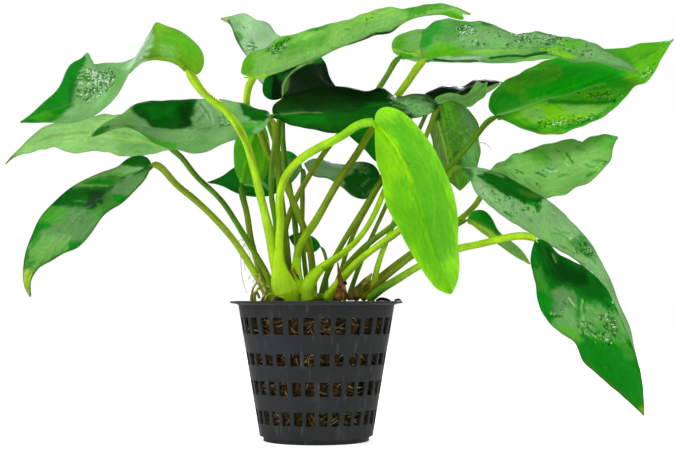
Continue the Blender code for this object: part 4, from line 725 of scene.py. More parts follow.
                "47,110 43,108")],
        lines=[
            ("dim_painted_sheen", 0.8, 0.16, "44.6,110.4 47.4,112.6 51,113.4")]),
    "leaf_19": dict(
        slot="leaf_dark", upper="dark", lower="dark", veins=0.2, wave=0.3, notch=0.1, rim=("deep", 0.3),
        areas=[
            ("dim_painted_sheen", 0.9, 1.0, "-14.5,84 -13,89.6 -6,90 -2.5,88.4 -3.5,85 -9,82.6"),
            ("bright", 0.85, 0.6, "-13.6,92.6 -8,93 -4,91.4 -7,90.2 -12,89.8"),
            ("painted_sheen", 0.5, 0.8, "-7,90 -2,89 -2.5,86 -6,86")],
        lines=[
            ("under_pale", 0.8, 0.3, "-24,81.8 -21.5,81.4 -19.5,81"),
            ("painted_sheen", 0.6, 0.4, "-17.6,82.4 -15.6,80.2")]),
    "leaf_20": dict(
        slot="leaf_dark", upper="under_grey", lower="dark", veins=0.2, wave=0.3, rim=("deep", 0.5),
        areas=[
            ("pale", 0.5, 1.2, "-4,85 -3,90 4,89.4 9,87.8 9,85 2,84"),
            ("dark", 1.0, 0.8, "8.4,83.6 12.6,86.4 17,89.6 21,88 20.5,78.6 14,76 8.6,80.2"),
            ("dim_painted_sheen", 0.6, 0.7, "13,87.2 16.6,88 17,85.4 13.6,84.6")],
        lines=[
            ("painted_sheen", 0.6, 0.3, "15,78 18,80 20,82.6"),
            ("painted_sheen", 0.5, 0.25, "14.6,81 17,83.4")],
        wet=[
            (0.8, "12.6,88.6 17.6,88.6 18,84 13,83.6"),
            (0.5, "13,82 19,82 18,77 13,77.4")]),
    "leaf_21": dict(
        slot="leaf_dark", upper="green", lower="dark", veins=0.15, wave=0.2, notch=0.0, rim=("deep", 0.3),
        areas=[
            ("deep", 0.6, 0.6, "-9,66 -7,66 -7,61 -9,62")]),
    "leaf_22": dict(
        slot="leaf_young", upper="fresh_deep", lower="fresh_deep", veins=0.2, wave=0.2, notch=0.0,
        rib=("young", 0.3), rim=("fresh", 0.4),
        areas=[
            ("grass", 0.7, 1.2, "-27,97 -24.4,97 -23.6,88 -24.6,84 -26.6,88")],
        lines=[
            ("young", 0.7, 0.4, "-18.6,84 -17,90 -15.8,95"),
            ("young", 0.5, 0.3, "-21.6,98 -21,90 -20.4,83")]),
    "leaf_23": dict(
        slot="leaf_fresh", upper="green", lower="green", veins=0.2, wave=0.2, notch=0.0, rib=("grass", 0.2),
        rim=("dark", 0.4)),
    "leaf_24": dict(
        slot="leaf_young", upper="leaf_pale", lower="leaf_pale", veins=0.4, wave=1.3, notch=0.9,
        rib=("under_pale", 0.5), rim=("under_pale", 0.7),
        areas=[
            ("under_pale", 0.7, 0.6, "37,109.6 41.6,110.4 45,109.6 41,108.4"),
            ("blush", 0.35, 0.6, "42.6,109.6 45,109.4 45,106.6 43,107"),
            ("under_pale", 0.8, 0.4, "49.6,112 52.6,115 52.4,112.6 50.6,110.4")]),
}

# Each kind of blade's roughness, and how many times lighter its veins are.
BLADE_FINISHES = {"leaf_dark": (0.34, 1.45), "leaf_fresh": (0.36, 1.35), "leaf_young": (0.42, 1.15)}

# Each stalk's colours at the foot, halfway up and just below the blade.
STALK_PAINTS = {
    "stem_01": ("stalk", "stalk", "stalk"),
    "stem_02": ("olive", "stalk_dark", "stalk_dark"),
    "stem_03": ("olive", "stalk_dark", "olive"),
    "stem_04": ("stalk", "olive", "olive"),
    "stem_06": ("olive", "olive", "stalk"),
    "stem_09": ("stalk", "stalk", "young"),
    "stem_10": ("stalk", "olive", "stalk"),
    "stem_14": ("stalk", "stalk", "stalk_dark"),
    "stem_15": ("stalk_dark", "stalk", "stalk"),
    "stem_05": ("stalk_dark", "stalk_dark", "stalk_dark"),
    "stem_12": ("olive", "stalk_dark", "stalk_dark"),
    "stem_13": ("rust", "olive", "olive"),
    "stem_16": ("rust", "olive", "stalk_dark"),
    "stem_17": ("stalk", "stalk", "olive"),
    "stem_18": ("stalk", "stalk", "olive"),
    "stem_20": ("stalk_dark", "olive", "stalk_dark"),
    "stem_22": ("olive", "olive", "stalk_dark"),
}
PLAIN_STALK = ("stalk_dark", "olive", "stalk_dark")


# Strands over the plug: their two colours, their share of the strands and how coarse they are.
WOOL_STRANDS = {
    "wool_strands_dark": ((38, 28, 9), (84, 64, 30), 0.42, 2.2),
    "wool_strands_olive": ((66, 54, 24), (116, 98, 52), 0.46, 2.2),
    "wool_strands_light": ((140, 128, 74), (190, 180, 124), 0.12, 1.0),
}

# Lamps: place, the point each is turned to, width and height, all in metres, power in watts, and
# whether it shows in the plant's gloss.
LAMPS = {
    "key_lamp": ((-0.35, -0.55, 0.95), (0.0, 0.0, 0.08), (0.7, 0.5), 5.2, False),
    "back_lamp": ((0.15, 0.75, 0.75), (0.0, 0.0, 0.09), (1.1, 0.4), 4.2, False),
    "left_lamp": ((-0.8, 0.0, 0.25), (0.0, 0.0, 0.05), (0.25, 0.5), 1.4, False),
    "back_glint": ((0.12, 0.65, 0.5), (0.0, 0.0, 0.1), (0.06, 0.05), 0.45, True),
    "front_glint": ((-0.3, -0.5, 0.55), (0.0, 0.0, 0.08), (0.05, 0.05), 0.3, True),
    "right_lamp": ((0.8, 0.05, 0.25), (0.0, 0.0, 0.05), (0.25, 0.5), 1.4, False),
}


# Shapes worked out with numpy

def spots(route):
    """The points of a written route, "x,z x,z" or "x,z,depth x,z,depth"."""
    return [tuple(float(number) for number in spot.split(",")) for spot in route.split()]


def seen(places):
    """Real places, in metres, of points given as (x, z, depth) in the layout's millimetres."""
    places = np.asarray(places, float)
    x, z, depth = places[..., 0], places[..., 1], places[..., 2]
    scale = (EYE_DISTANCE + depth) / EYE_DISTANCE
    return np.stack((EYE_X + (x - EYE_X) * scale, depth, EYE_HEIGHT + (z - EYE_HEIGHT) * scale), -1) * MM


def curve_length(points):
    return np.linalg.norm(np.diff(np.asarray(points, float), axis=0), axis=1).sum()


def along(points, shares):
    """Places at the given shares (0 to 1) of the way along a smooth curve through the points."""
    points = np.asarray(points, float)
    steps = np.linalg.norm(np.diff(points, axis=0), axis=1)[:, None]
    slopes = np.diff(points, axis=0) / steps
    tangents = np.empty_like(points)
    tangents[1:-1] = (slopes[:-1] * steps[1:] + slopes[1:] * steps[:-1]) / (steps[:-1] + steps[1:])
    tangents[0] = 1.5 * slopes[0] - 0.5 * tangents[1]
    tangents[-1] = 1.5 * slopes[-1] - 0.5 * tangents[-2]
    marks = np.concatenate(([0.0], np.cumsum(steps[:, 0])))
    place = np.clip(shares, 0.0, 1.0) * marks[-1]
    index = np.clip(np.searchsorted(marks, place, side="right") - 1, 0, len(steps) - 1)
    step = steps[index]
    t = (place - marks[index])[:, None] / step
    return ((2 * t ** 3 - 3 * t ** 2 + 1) * points[index] + (t ** 3 - 2 * t ** 2 + t) * step * tangents[index]
            + (3 * t ** 2 - 2 * t ** 3) * points[index + 1] + (t ** 3 - t ** 2) * step * tangents[index + 1])


def eased(rows, reach):
    """The rows with their sharp turns smoothed over about reach rows, and both ends kept in place."""
    width = int(3 * reach)
    weights = np.exp(-0.5 * (np.arange(-width, width + 1) / reach) ** 2)
    weights /= weights.sum()
    before = 2 * rows[0] - rows[width:0:-1]
    after = 2 * rows[-1] - rows[-2:-width - 2:-1]
    padded = np.concatenate((before, rows, after))
    return np.stack([np.convolve(column, weights, mode="valid") for column in padded.T], -1)


def step_up(value, low, high):
    """0 below low, 1 above high, and smooth between."""
    share = np.clip((value - low) / (high - low), 0.0, 1.0)
    return share * share * (3 - 2 * share)


def ripple(a, b, seed):
    """A smooth, irregular pattern between about -1 and 1 over two coordinates."""
    random = np.random.default_rng(seed)
    total = np.zeros(np.broadcast(a, b).shape)
    turns, paces, shifts = random.uniform(0, pi, 6), random.uniform(0.5, 1.7, 6), random.uniform(0, 6, 6)
    for turn, pace, shift in zip(turns, paces, shifts):
        total += np.sin((a * cos(turn) + b * sin(turn)) * pace * 2 * pi + shift)
    return total / 3.2


def unit(vectors):
    return vectors / np.maximum(np.linalg.norm(vectors, axis=-1, keepdims=True), 1e-12)


def ring_quads(rows, around):
    """The quads between rows of points that each close into a ring."""
    row, column = np.meshgrid(np.arange(rows - 1), np.arange(around), indexing="ij")
    after = (column + 1) % around
    return np.stack((row * around + column, row * around + after, (row + 1) * around + after,
                     (row + 1) * around + column), -1).reshape(-1, 4)


def capped(rings, foot, head):
    """A closed shape through the rings, ended by a fan of triangles at its foot and its head."""
    rows, around = rings.shape[:2]
    corners = np.concatenate((rings.reshape(-1, 3), [foot, head]))
    here = np.arange(around)
    ahead = (here + 1) % around
    last = (rows - 1) * around
    low = np.stack((ahead, here, np.full(around, rows * around)), -1)
    high = np.stack((last + here, last + ahead, np.full(around, rows * around + 1)), -1)
    return corners, ring_quads(rows, around), np.concatenate((low, high))


def sweep(centres, radii, sides, bumps=None):
    """A closed tube round the centres: its corners, its quads and its end triangles."""
    centres = np.asarray(centres, float)
    forward = unit(np.gradient(centres, axis=0))
    across = np.empty_like(centres)
    guess = np.array((0.0, 1.0, 0.0)) if abs(forward[0][1]) < 0.8 else np.array((1.0, 0.0, 0.0))
    for index, heading in enumerate(forward):
        guess = guess - heading * np.dot(guess, heading)
        guess /= np.linalg.norm(guess)
        across[index] = guess
    other = np.cross(forward, across)
    angles = np.arange(sides) * 2 * pi / sides
    reach = np.broadcast_to(np.asarray(radii, float)[:, None], (len(centres), sides))
    if bumps is not None:
        reach = reach * (1 + bumps)
    ring = across[:, None] * np.cos(angles)[None, :, None] + other[:, None] * np.sin(angles)[None, :, None]
    return capped(centres[:, None] + ring * reach[:, :, None], centres[0], centres[-1])


def joined(shapes):
    """One shape from several, each given as its corners, quads and triangles."""
    corners, quads, triangles = [], [], []
    start = 0
    for shape in shapes:
        corners.append(shape[0])
        quads.append(shape[1] + start)
        triangles.append(shape[2] + start)
        start += len(shape[0])
    return np.concatenate(corners), np.concatenate(quads), np.concatenate(triangles)


# Making pieces

def add_piece(name, shape, material, replaces=(), paints=None, values=None):
    """A smooth mesh piece that rides on the plant; paints are corner colours, values corner numbers."""
    corners, quads, triangles = shape
    mesh = bpy.data.meshes.new(name)
    mesh.from_pydata(corners.tolist(), [], quads.tolist() + triangles.tolist())
    mesh.shade_smooth()
    if paints is not None:
        tint = mesh.attributes.new("tint", "FLOAT_COLOR", "POINT")
        tint.data.foreach_set("color", np.column_stack((paints, np.ones(len(paints)))).ravel())
    for label, numbers in (values or {}).items():
        layer = mesh.attributes.new(label, "FLOAT", "POINT")
        layer.data.foreach_set("value", np.asarray(numbers, float).ravel())
    return add_object(name, mesh, material, replaces)


def add_object(name, data, material, replaces=()):
    item = bpy.data.objects.new(name, data)
    data.materials.append(material)
    collection("anubias_looks").objects.link(item)
    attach(item, "root")
    if replaces:
        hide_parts(*replaces)
    return item


def collection(name):
    found = bpy.data.collections.get(name)
    if found is None:
        found = bpy.data.collections.new(name)
        bpy.context.scene.collection.children.link(found)
    return found


# Shared shader groups

def new_group(name, inputs, outputs):
    """An empty shader group with number (or colour) inputs and outputs."""
    tree = bpy.data.node_groups.new(name, "ShaderNodeTree")
    for label, kind, default in inputs:
        socket = tree.interface.new_socket(label, in_out="INPUT", socket_type=kind)
        socket.default_value = default
    for label, kind in outputs:
        tree.interface.new_socket(label, in_out="OUTPUT", socket_type=kind)
    return tree, tree.nodes.new("NodeGroupInput"), tree.nodes.new("NodeGroupOutput")


def math_node(tree, operation, first, second=None, third=None):
    """A math node fed by sockets or plain numbers; its result socket."""
    node = tree.nodes.new("ShaderNodeMath")
    node.operation = operation
    for place, value in enumerate((first, second, third)):
        if value is None:
            continue
        if isinstance(value, (int, float)):
            node.inputs[place].default_value = value
        else:
            tree.links.new(value, node.inputs[place])
    return node.outputs[0]


def spread_node(tree, value, low, high, new_low=0.0, new_high=1.0, smooth=True):
    """A value moved from one range to another, held at both ends."""
    node = tree.nodes.new("ShaderNodeMapRange")
    node.interpolation_type = "SMOOTHSTEP" if smooth else "LINEAR"
    tree.links.new(value, node.inputs["Value"])
    for label, number in (("From Min", low), ("From Max", high), ("To Min", new_low), ("To Max", new_high)):
        if isinstance(number, (int, float)):
            node.inputs[label].default_value = number
        else:
            tree.links.new(number, node.inputs[label])
    return node.outputs["Result"]


def noise_node(tree, scale, detail=2.0, roughness=0.5, distortion=0.0, stretch=None):
    """Noise over the piece's own coordinates; scale is in cycles per metre."""
    place = tree.nodes.new("ShaderNodeTexCoord").outputs["Object"]
    if stretch is not None:
        mapping = tree.nodes.new("ShaderNodeMapping")
        mapping.inputs["Scale"].default_value = stretch
        tree.links.new(place, mapping.inputs["Vector"])
        place = mapping.outputs["Vector"]
    noise = tree.nodes.new("ShaderNodeTexNoise")
    noise.inputs["Detail"].default_value = detail
    noise.inputs["Roughness"].default_value = roughness
    noise.inputs["Distortion"].default_value = distortion
    tree.links.new(place, noise.inputs["Vector"])
    if isinstance(scale, (int, float)):
        noise.inputs["Scale"].default_value = scale
    else:
        tree.links.new(scale, noise.inputs["Scale"])
    return noise.outputs["Fac"]


def mix_node(tree, factor, first, second, blend="MIX"):
    """Two colours mixed; each input may be a socket or a colour."""
    node = tree.nodes.new("ShaderNodeMix")
    node.data_type = "RGBA"
    node.blend_type = blend
    for label, value in (("Factor_Float", factor), ("A_Color", first), ("B_Color", second)):
        socket = next(item for item in node.inputs if item.identifier == label)
        if isinstance(value, (int, float)):
            socket.default_value = value
        elif isinstance(value, (tuple, list, np.ndarray)):
            socket.default_value = (*value[:3], 1.0)
        else:
            tree.links.new(value, socket)
    return next(item for item in node.outputs if item.identifier == "Result_Color")


def mottle_group():
    """Soft uneven colour: a broad drift and a finer blotching over any colour."""
    found = bpy.data.node_groups.get("Mottle")
    if found:
        return found
    tree, given, result = new_group(
        "Mottle",
        [("Color", "NodeSocketColor", (0.5, 0.5, 0.5, 1.0)), ("Scale", "NodeSocketFloat", 200.0),
         ("Strength", "NodeSocketFloat", 0.2)],
        [("Color", "NodeSocketColor"), ("Value", "NodeSocketFloat")])
    broad = noise_node(tree, given.outputs["Scale"], 2.0)
    fine = noise_node(tree, math_node(tree, "MULTIPLY", given.outputs["Scale"], 5.3), 3.0)
    blend = math_node(tree, "ADD", math_node(tree, "MULTIPLY", broad, 0.65),
                      math_node(tree, "MULTIPLY", fine, 0.35))
    swing = spread_node(tree, blend, 0.3, 0.7, -1.0, 1.0, smooth=False)
    level = math_node(tree, "MULTIPLY_ADD", swing, given.outputs["Strength"], 1.0)
    hue = tree.nodes.new("ShaderNodeHueSaturation")
    tree.links.new(level, hue.inputs["Value"])
    tree.links.new(given.outputs["Color"], hue.inputs["Color"])
    tree.links.new(hue.outputs["Color"], result.inputs["Color"])
    tree.links.new(blend, result.inputs["Value"])
    return tree


def veins_group():
    """Side veins as thin lines at whole numbers of the phase, with finer ones between them."""
    found = bpy.data.node_groups.get("Blade veins")
    if found:
        return found
    tree, given, result = new_group(
        "Blade veins",
        [("Phase", "NodeSocketFloat", 0.0), ("Across", "NodeSocketFloat", 0.0),
         ("Fineness", "NodeSocketFloat", 1.0)],
        [("Mask", "NodeSocketFloat"), ("Height", "NodeSocketFloat"), ("Streak", "NodeSocketFloat")])
    wander = noise_node(tree, 260.0, 2.0)
    phase = math_node(tree, "MULTIPLY_ADD", wander, 0.35, given.outputs["Phase"])

    def lines(pace, width):
        place = math_node(tree, "MULTIPLY", phase, pace)
        gap = math_node(tree, "PINGPONG", place, 0.5)
        return spread_node(tree, gap, width, 0.0)

    main = lines(1.0, 0.075)
    fine = math_node(tree, "MULTIPLY", lines(6.0, 0.24), 0.3)
    both = math_node(tree, "MAXIMUM", main, fine)
    edge = math_node(tree, "ABSOLUTE", given.outputs["Across"])
    inside = spread_node(tree, edge, 0.98, 0.7)
    clear = spread_node(tree, edge, 0.0, 0.06)
    mask = math_node(tree, "MULTIPLY", math_node(tree, "MULTIPLY", both, inside), clear)
    tree.links.new(mask, result.inputs["Mask"])
    tree.links.new(math_node(tree, "MULTIPLY", mask, given.outputs["Fineness"]), result.inputs["Height"])
    place = tree.nodes.new("ShaderNodeCombineXYZ")
    tree.links.new(math_node(tree, "MULTIPLY", phase, 2.6), place.inputs["X"])
    tree.links.new(math_node(tree, "MULTIPLY", given.outputs["Across"], 2.2), place.inputs["Y"])
    streak = tree.nodes.new("ShaderNodeTexNoise")
    streak.inputs["Scale"].default_value = 1.6
    streak.inputs["Detail"].default_value = 4.0
    streak.inputs["Roughness"].default_value = 0.62
    tree.links.new(place.outputs["Vector"], streak.inputs["Vector"])
    tree.links.new(streak.outputs["Fac"], result.inputs["Streak"])
    return tree


def wet_group():
    """A broken film of water: small smooth beads and runs where the amount lets them show, and a mask of pale
    specks that the skin paints as glints.
    """
    found = bpy.data.node_groups.get("Wet film")
    if found:
        return found
    tree, given, result = new_group(
        "Wet film",
        [("Amount", "NodeSocketFloat", 0.0), ("Scale", "NodeSocketFloat", 700.0),
         ("Streak", "NodeSocketFloat", 0.5)],
        [("Mask", "NodeSocketFloat"), ("Height", "NodeSocketFloat"), ("Painted_glints", "NodeSocketFloat")])
    beads = noise_node(tree, given.outputs["Scale"], 2.0, 0.6, 0.4)
    patches = noise_node(tree, math_node(tree, "MULTIPLY", given.outputs["Scale"], 0.22), 2.0)
    level = math_node(tree, "ADD", math_node(tree, "MULTIPLY", beads, 0.7),
                      math_node(tree, "MULTIPLY", patches, 0.3))
    level = math_node(tree, "MULTIPLY_ADD", given.outputs["Streak"], 0.4,
                      math_node(tree, "SUBTRACT", level, 0.2))
    bar = math_node(tree, "MULTIPLY_ADD", given.outputs["Amount"], -0.23, 0.72)
    mask = spread_node(tree, level, bar, math_node(tree, "ADD", bar, 0.05))
    tree.links.new(mask, result.inputs["Mask"])
    dome = spread_node(tree, level, bar, math_node(tree, "ADD", bar, 0.12))
    tree.links.new(dome, result.inputs["Height"])
    painted_glints = noise_node(tree, math_node(tree, "MULTIPLY", given.outputs["Scale"], 1.6), 1.0, 0.5, 0.6)
    painted_glints = math_node(tree, "ADD", math_node(tree, "MULTIPLY", painted_glints, 0.75),
                       math_node(tree, "MULTIPLY", patches, 0.25))
    bar = math_node(tree, "MULTIPLY_ADD", given.outputs["Amount"], -0.24, 0.8)
    tree.links.new(spread_node(tree, painted_glints, bar, math_node(tree, "ADD", bar, 0.06)), result.inputs["Painted_glints"])
    return tree


def use_group(tree, group, **inputs):
    """A group placed in a tree, its inputs given as sockets, numbers or colours."""
    node = tree.nodes.new("ShaderNodeGroup")
    node.node_tree = group
    for label, value in inputs.items():
        socket = node.inputs[label]
        if isinstance(value, (int, float)):
            socket.default_value = value
        elif isinstance(value, (tuple, list, np.ndarray)):
            socket.default_value = (*value[:3], 1.0)
        else:
            tree.links.new(value, socket)
    return node.outputs


def attribute(tree, name, output="Fac"):
    node = tree.nodes.new("ShaderNodeAttribute")
    node.attribute_name = name
    return node.outputs[output]


def new_material(name, **constants):
    """A material with one Principled shader, and its plain values set on the shader's own sockets."""
    material = bpy.data.materials.new(name)
    material.use_nodes = True
    shader = material.node_tree.nodes["Principled BSDF"]
    for label, value in constants.items():
        shader.inputs[label.replace("_", " ")].default_value = value
    return material, material.node_tree, shader


def bump(tree, shader, height, distance, strength=1.0, under=None):
    """A Bump node that feeds the shader's Normal; distance is the real depth in metres."""
    node = tree.nodes.new("ShaderNodeBump")
    node.inputs["Distance"].default_value = distance
    node.inputs["Strength"].default_value = strength
    tree.links.new(height, node.inputs["Height"])
    if under is not None:
        tree.links.new(under, node.inputs["Normal"])
    tree.links.new(node.outputs["Normal"], shader.inputs["Normal"])
    return node.outputs["Normal"]


# Materials

def blade_material(name, gloss, vein_light):
    """Leaf skin: painted colour, mottled, with paler veins, fine grain and wet patches with painted glints.
    """
    found = bpy.data.materials.get(name)
    if found:
        return found
    material, tree, shader = new_material(
        name, Specular_IOR_Level=0.28, Coat_Roughness=0.06, Coat_IOR=1.4)
    tint = attribute(tree, "tint", "Color")
    soft = use_group(tree, mottle_group(), Color=tint, Scale=150.0, Strength=0.12)
    veins = use_group(tree, veins_group(), Phase=attribute(tree, "vein"), Across=attribute(tree, "across"),
                      Fineness=1.0)
    strength = attribute(tree, "vein_strength")
    shaded = mix_node(tree, 1.0, soft["Color"], (0.45, 0.62, 0.4), "MULTIPLY")
    lit = mix_node(tree, 1.0, soft["Color"], (1.45, 1.3, 1.5), "MULTIPLY")
    rise = math_node(tree, "MULTIPLY", strength, 2.2)
    low = math_node(tree, "MULTIPLY", spread_node(tree, veins["Streak"], 0.54, 0.72), rise)
    high = math_node(tree, "MULTIPLY", spread_node(tree, veins["Streak"], 0.46, 0.3), rise)
    streaked = mix_node(tree, high, mix_node(tree, low, soft["Color"], shaded), lit)
    lighter = mix_node(tree, 1.0, streaked, (vein_light, vein_light, vein_light), "MULTIPLY")
    amount = math_node(tree, "MULTIPLY", veins["Mask"], strength)
    veined = mix_node(tree, amount, streaked, lighter)
    wet = use_group(tree, wet_group(), Amount=attribute(tree, "wet"), Scale=850.0,
                    Streak=veins["Streak"])
    darker = mix_node(tree, 1.0, veined, (0.12, 0.5, 0.12), "MULTIPLY")
    colour = mix_node(tree, math_node(tree, "MULTIPLY", wet["Mask"], 0.8), veined, darker)
    # Near-white specks over the wet patches are painted glints.
    colour = mix_node(tree, math_node(tree, "MULTIPLY", wet["Painted_glints"], 0.75), colour, linear(206, 230, 200))
    tree.links.new(colour, shader.inputs["Base Color"])
    grain = noise_node(tree, 2600.0, 2.0)
    dull = spread_node(tree, soft["Value"], 0.3, 0.7, gloss - 0.07, gloss + 0.09, smooth=False)
    rough = math_node(tree, "MULTIPLY_ADD", wet["Mask"], -0.3, dull)
    tree.links.new(math_node(tree, "MAXIMUM", rough, 0.07), shader.inputs["Roughness"])
    tree.links.new(math_node(tree, "MULTIPLY_ADD", wet["Mask"], 0.1, 0.03), shader.inputs["Coat Weight"])
    relief = math_node(tree, "MULTIPLY_ADD", math_node(tree, "MULTIPLY", veins["Height"], strength), -0.6,
                       math_node(tree, "MULTIPLY", grain, 0.16))
    relief = math_node(tree, "MULTIPLY_ADD", wet["Height"], 3.5, relief)
    bump(tree, shader, relief, 0.00012, 0.8)
    return material


def stalk_material():
    """Stalk skin: painted colour with fine lengthwise streaks and olive mottling."""
    found = bpy.data.materials.get("Stalk skin")
    if found:
        return found
    material, tree, shader = new_material("Stalk skin", Specular_IOR_Level=0.35, Coat_Weight=0.12,
                                          Coat_Roughness=0.12)
    tint = attribute(tree, "tint", "Color")
    soft = use_group(tree, mottle_group(), Color=tint, Scale=180.0, Strength=0.14)
    streak = noise_node(tree, 900.0, 3.0, stretch=(1.0, 1.0, 0.12))
    dark = mix_node(tree, 1.0, soft["Color"], (0.62, 0.66, 0.5), "MULTIPLY")
    colour = mix_node(tree, spread_node(tree, streak, 0.5, 0.72, 0.0, 0.45), soft["Color"], dark)
    tree.links.new(colour, shader.inputs["Base Color"])
    tree.links.new(spread_node(tree, streak, 0.3, 0.7, 0.3, 0.45), shader.inputs["Roughness"])
    bump(tree, shader, streak, 0.0001, 0.5)
    return material


def fibre_material(name, dark, light, scale):
    """Damp wool or bark: two colours streaked together, dull and rough."""
    found = bpy.data.materials.get(name)
    if found:
        return found
    material, tree, shader = new_material(name, Specular_IOR_Level=0.3)
    mixture = noise_node(tree, scale, 4.0, 0.65)
    colour = mix_node(tree, spread_node(tree, mixture, 0.35, 0.68), dark, light)
    soft = use_group(tree, mottle_group(), Color=colour, Scale=scale * 0.4, Strength=0.35)
    tree.links.new(soft["Color"], shader.inputs["Base Color"])
    tree.links.new(spread_node(tree, mixture, 0.3, 0.7, 0.6, 0.95), shader.inputs["Roughness"])
    bump(tree, shader, mixture, 0.0003, 0.9)
    return material


def pot_material(plastic):
    """Moulded plastic: satin, faintly streaked, with a fine grain, dusty water marks and paler vertical
    streaks.
    """
    found = bpy.data.materials.get("Pot plastic")
    if found:
        return found
    material, tree, shader = new_material("Pot plastic", Specular_IOR_Level=0.35, Sheen_Weight=0.2,
                                          Sheen_Roughness=0.35)
    soft = use_group(tree, mottle_group(), Color=tuple(plastic), Scale=90.0, Strength=0.12)
    marks = noise_node(tree, 160.0, 5.0, 0.7, stretch=(1.0, 1.0, 0.3))
    marked_plastic = mix_node(tree, spread_node(tree, marks, 0.56, 0.74, 0.0, 0.3), soft["Color"], linear(84, 88, 88))
    pale_streaks = noise_node(tree, 900.0, 2.0, 0.6, stretch=(1.0, 1.0, 0.06))
    marked_plastic = mix_node(tree, spread_node(tree, pale_streaks, 0.6, 0.72, 0.0, 0.28), marked_plastic, linear(96, 100, 102))
    tree.links.new(marked_plastic, shader.inputs["Base Color"])
    grain = noise_node(tree, 3200.0, 2.0)
    tree.links.new(spread_node(tree, marks, 0.3, 0.7, 0.36, 0.56), shader.inputs["Roughness"])
    bump(tree, shader, grain, 0.00005, 0.6)
    return material


# The blades

def blade_surface(leaf, fineness, wave, notch, seed):
    """A blade's middle surface as a grid of rows from base to tip, with what the skin needs to know."""
    midrib = spots(leaf["rib"])
    length = curve_length(midrib)
    rows = max(int(length / fineness), 24)
    shares = np.linspace(0.004, 0.997, rows)
    rib = eased(along(midrib, shares), 2.0)
    base, tip = midrib[0][:2], midrib[-1][:2]
    flat_sides, depth_sides, widths = [], [], []
    for order, side in enumerate(("left", "right")):
        first, last = leaf[side + "_lean"]
        edge = eased(along([base, *spots(leaf[side]), tip], shares), 1.5)
        outward = edge - rib[:, :2]
        nicks = notch * ripple(shares * length / 7.0, order * 4.0, seed + 2)
        nicks = nicks * np.minimum(np.linalg.norm(outward, axis=1) / NICK_FADE, 1.0)
        edge = edge + unit(outward) * nicks[:, None]
        flat_sides.append(edge - rib[:, :2])
        depth_sides.append((first + (last - first) * shares) * np.sin(pi * shares) ** 0.5)
        widths.append(np.linalg.norm(edge - rib[:, :2], axis=1))
    half = max(int(max(width.max() for width in widths) / fineness / 1.25), 7)
    steps = np.linspace(-1.0, 1.0, 2 * half + 1)
    # The columns lie closer together beside the midrib and at the margin.
    across = 0.55 * steps + 0.9 * steps * np.abs(steps) - 0.45 * steps ** 3
    reach = np.abs(across)
    left = across < 0
    outward = np.where(left[None, :, None], flat_sides[0][:, None], flat_sides[1][:, None])
    flat = rib[:, None, :2] + outward * reach[None, :, None]
    behind = np.where(left[None, :], depth_sides[0][:, None], depth_sides[1][:, None])
    depth = rib[:, None, 2] + behind * (0.6 * reach + 0.4 * reach ** 2)[None, :]
    points = seen(np.concatenate((flat, depth[:, :, None]), -1))
    from_rib = np.where(left[None, :], widths[0][:, None], widths[1][:, None]) * reach[None, :]
    distance = np.broadcast_to((shares * length)[:, None], from_rib.shape)
    normals = unit(np.cross(np.gradient(points, axis=1), np.gradient(points, axis=0)))
    signed = from_rib * np.sign(across)[None, :]
    swell = wave * reach[None, :] ** 2 * ripple(distance / 21.0, signed / 60.0, seed)
    swell = swell + 0.35 * wave * ripple(distance / 30.0, signed / 18.0, seed + 1) * step_up(reach, 0.0, 0.4)
    swell = swell * step_up(shares, 0.0, 0.12)[:, None] * step_up(shares, 1.0, 0.85)[:, None]
    points = points + normals * swell[:, :, None] * MM
    normals = unit(np.cross(np.gradient(points, axis=1), np.gradient(points, axis=0)))
    return dict(points=points, normals=normals, flat=flat, across=across, from_rib=from_rib,
                distance=distance, signed=signed, shares=shares, length=length)


def vein_phase(surface, spacing):
    """Number of side veins passed on the way to each point; whole numbers lie on a vein."""
    across = surface["across"]
    reach = np.abs(across)[None, :]
    half_width = surface["from_rib"][:, -1:] * (across > 0) + surface["from_rib"][:, :1] * (across <= 0)
    bend = half_width * (0.85 * reach + 0.75 * reach ** 3)
    return (surface["distance"] - bend) / spacing + 0.5 * (across < 0)[None, :]


def outline_gap(flat, route, closed):
    """Distance in millimetres from each point to a written route; inside a closed one it is negative."""
    route = spots(route)
    ends = zip(route, route[1:] + route[:1] if closed else route[1:])
    nearest = np.full(flat.shape[:2], 1e9)
    inside = np.zeros(flat.shape[:2], bool)
    x, z = flat[..., 0], flat[..., 1]
    for (x0, z0), (x1, z1) in ends:
        dx, dz = x1 - x0, z1 - z0
        share = np.clip(((x - x0) * dx + (z - z0) * dz) / (dx * dx + dz * dz), 0.0, 1.0)
        nearest = np.minimum(nearest, np.hypot(x - x0 - share * dx, z - z0 - share * dz))
        if closed and dz:
            inside ^= ((z0 > z) != (z1 > z)) & (x < x0 + (z - z0) * dx / dz)
    return np.where(inside, -nearest, nearest)


def area_weight(surface, soft, outline, seed):
    """How strongly an area covers each point; its edge is broken into streaks along the veins."""
    streaks = ripple(surface["distance"] / 9.0, surface["signed"] / 2.6, seed)
    streaks = 0.7 * streaks + 0.5 * ripple(surface["distance"] / 3.5, surface["signed"] / 1.1, seed + 3)
    gap = outline_gap(surface["flat"], outline, True) + 0.8 * soft * streaks
    return step_up(gap, soft, -soft)


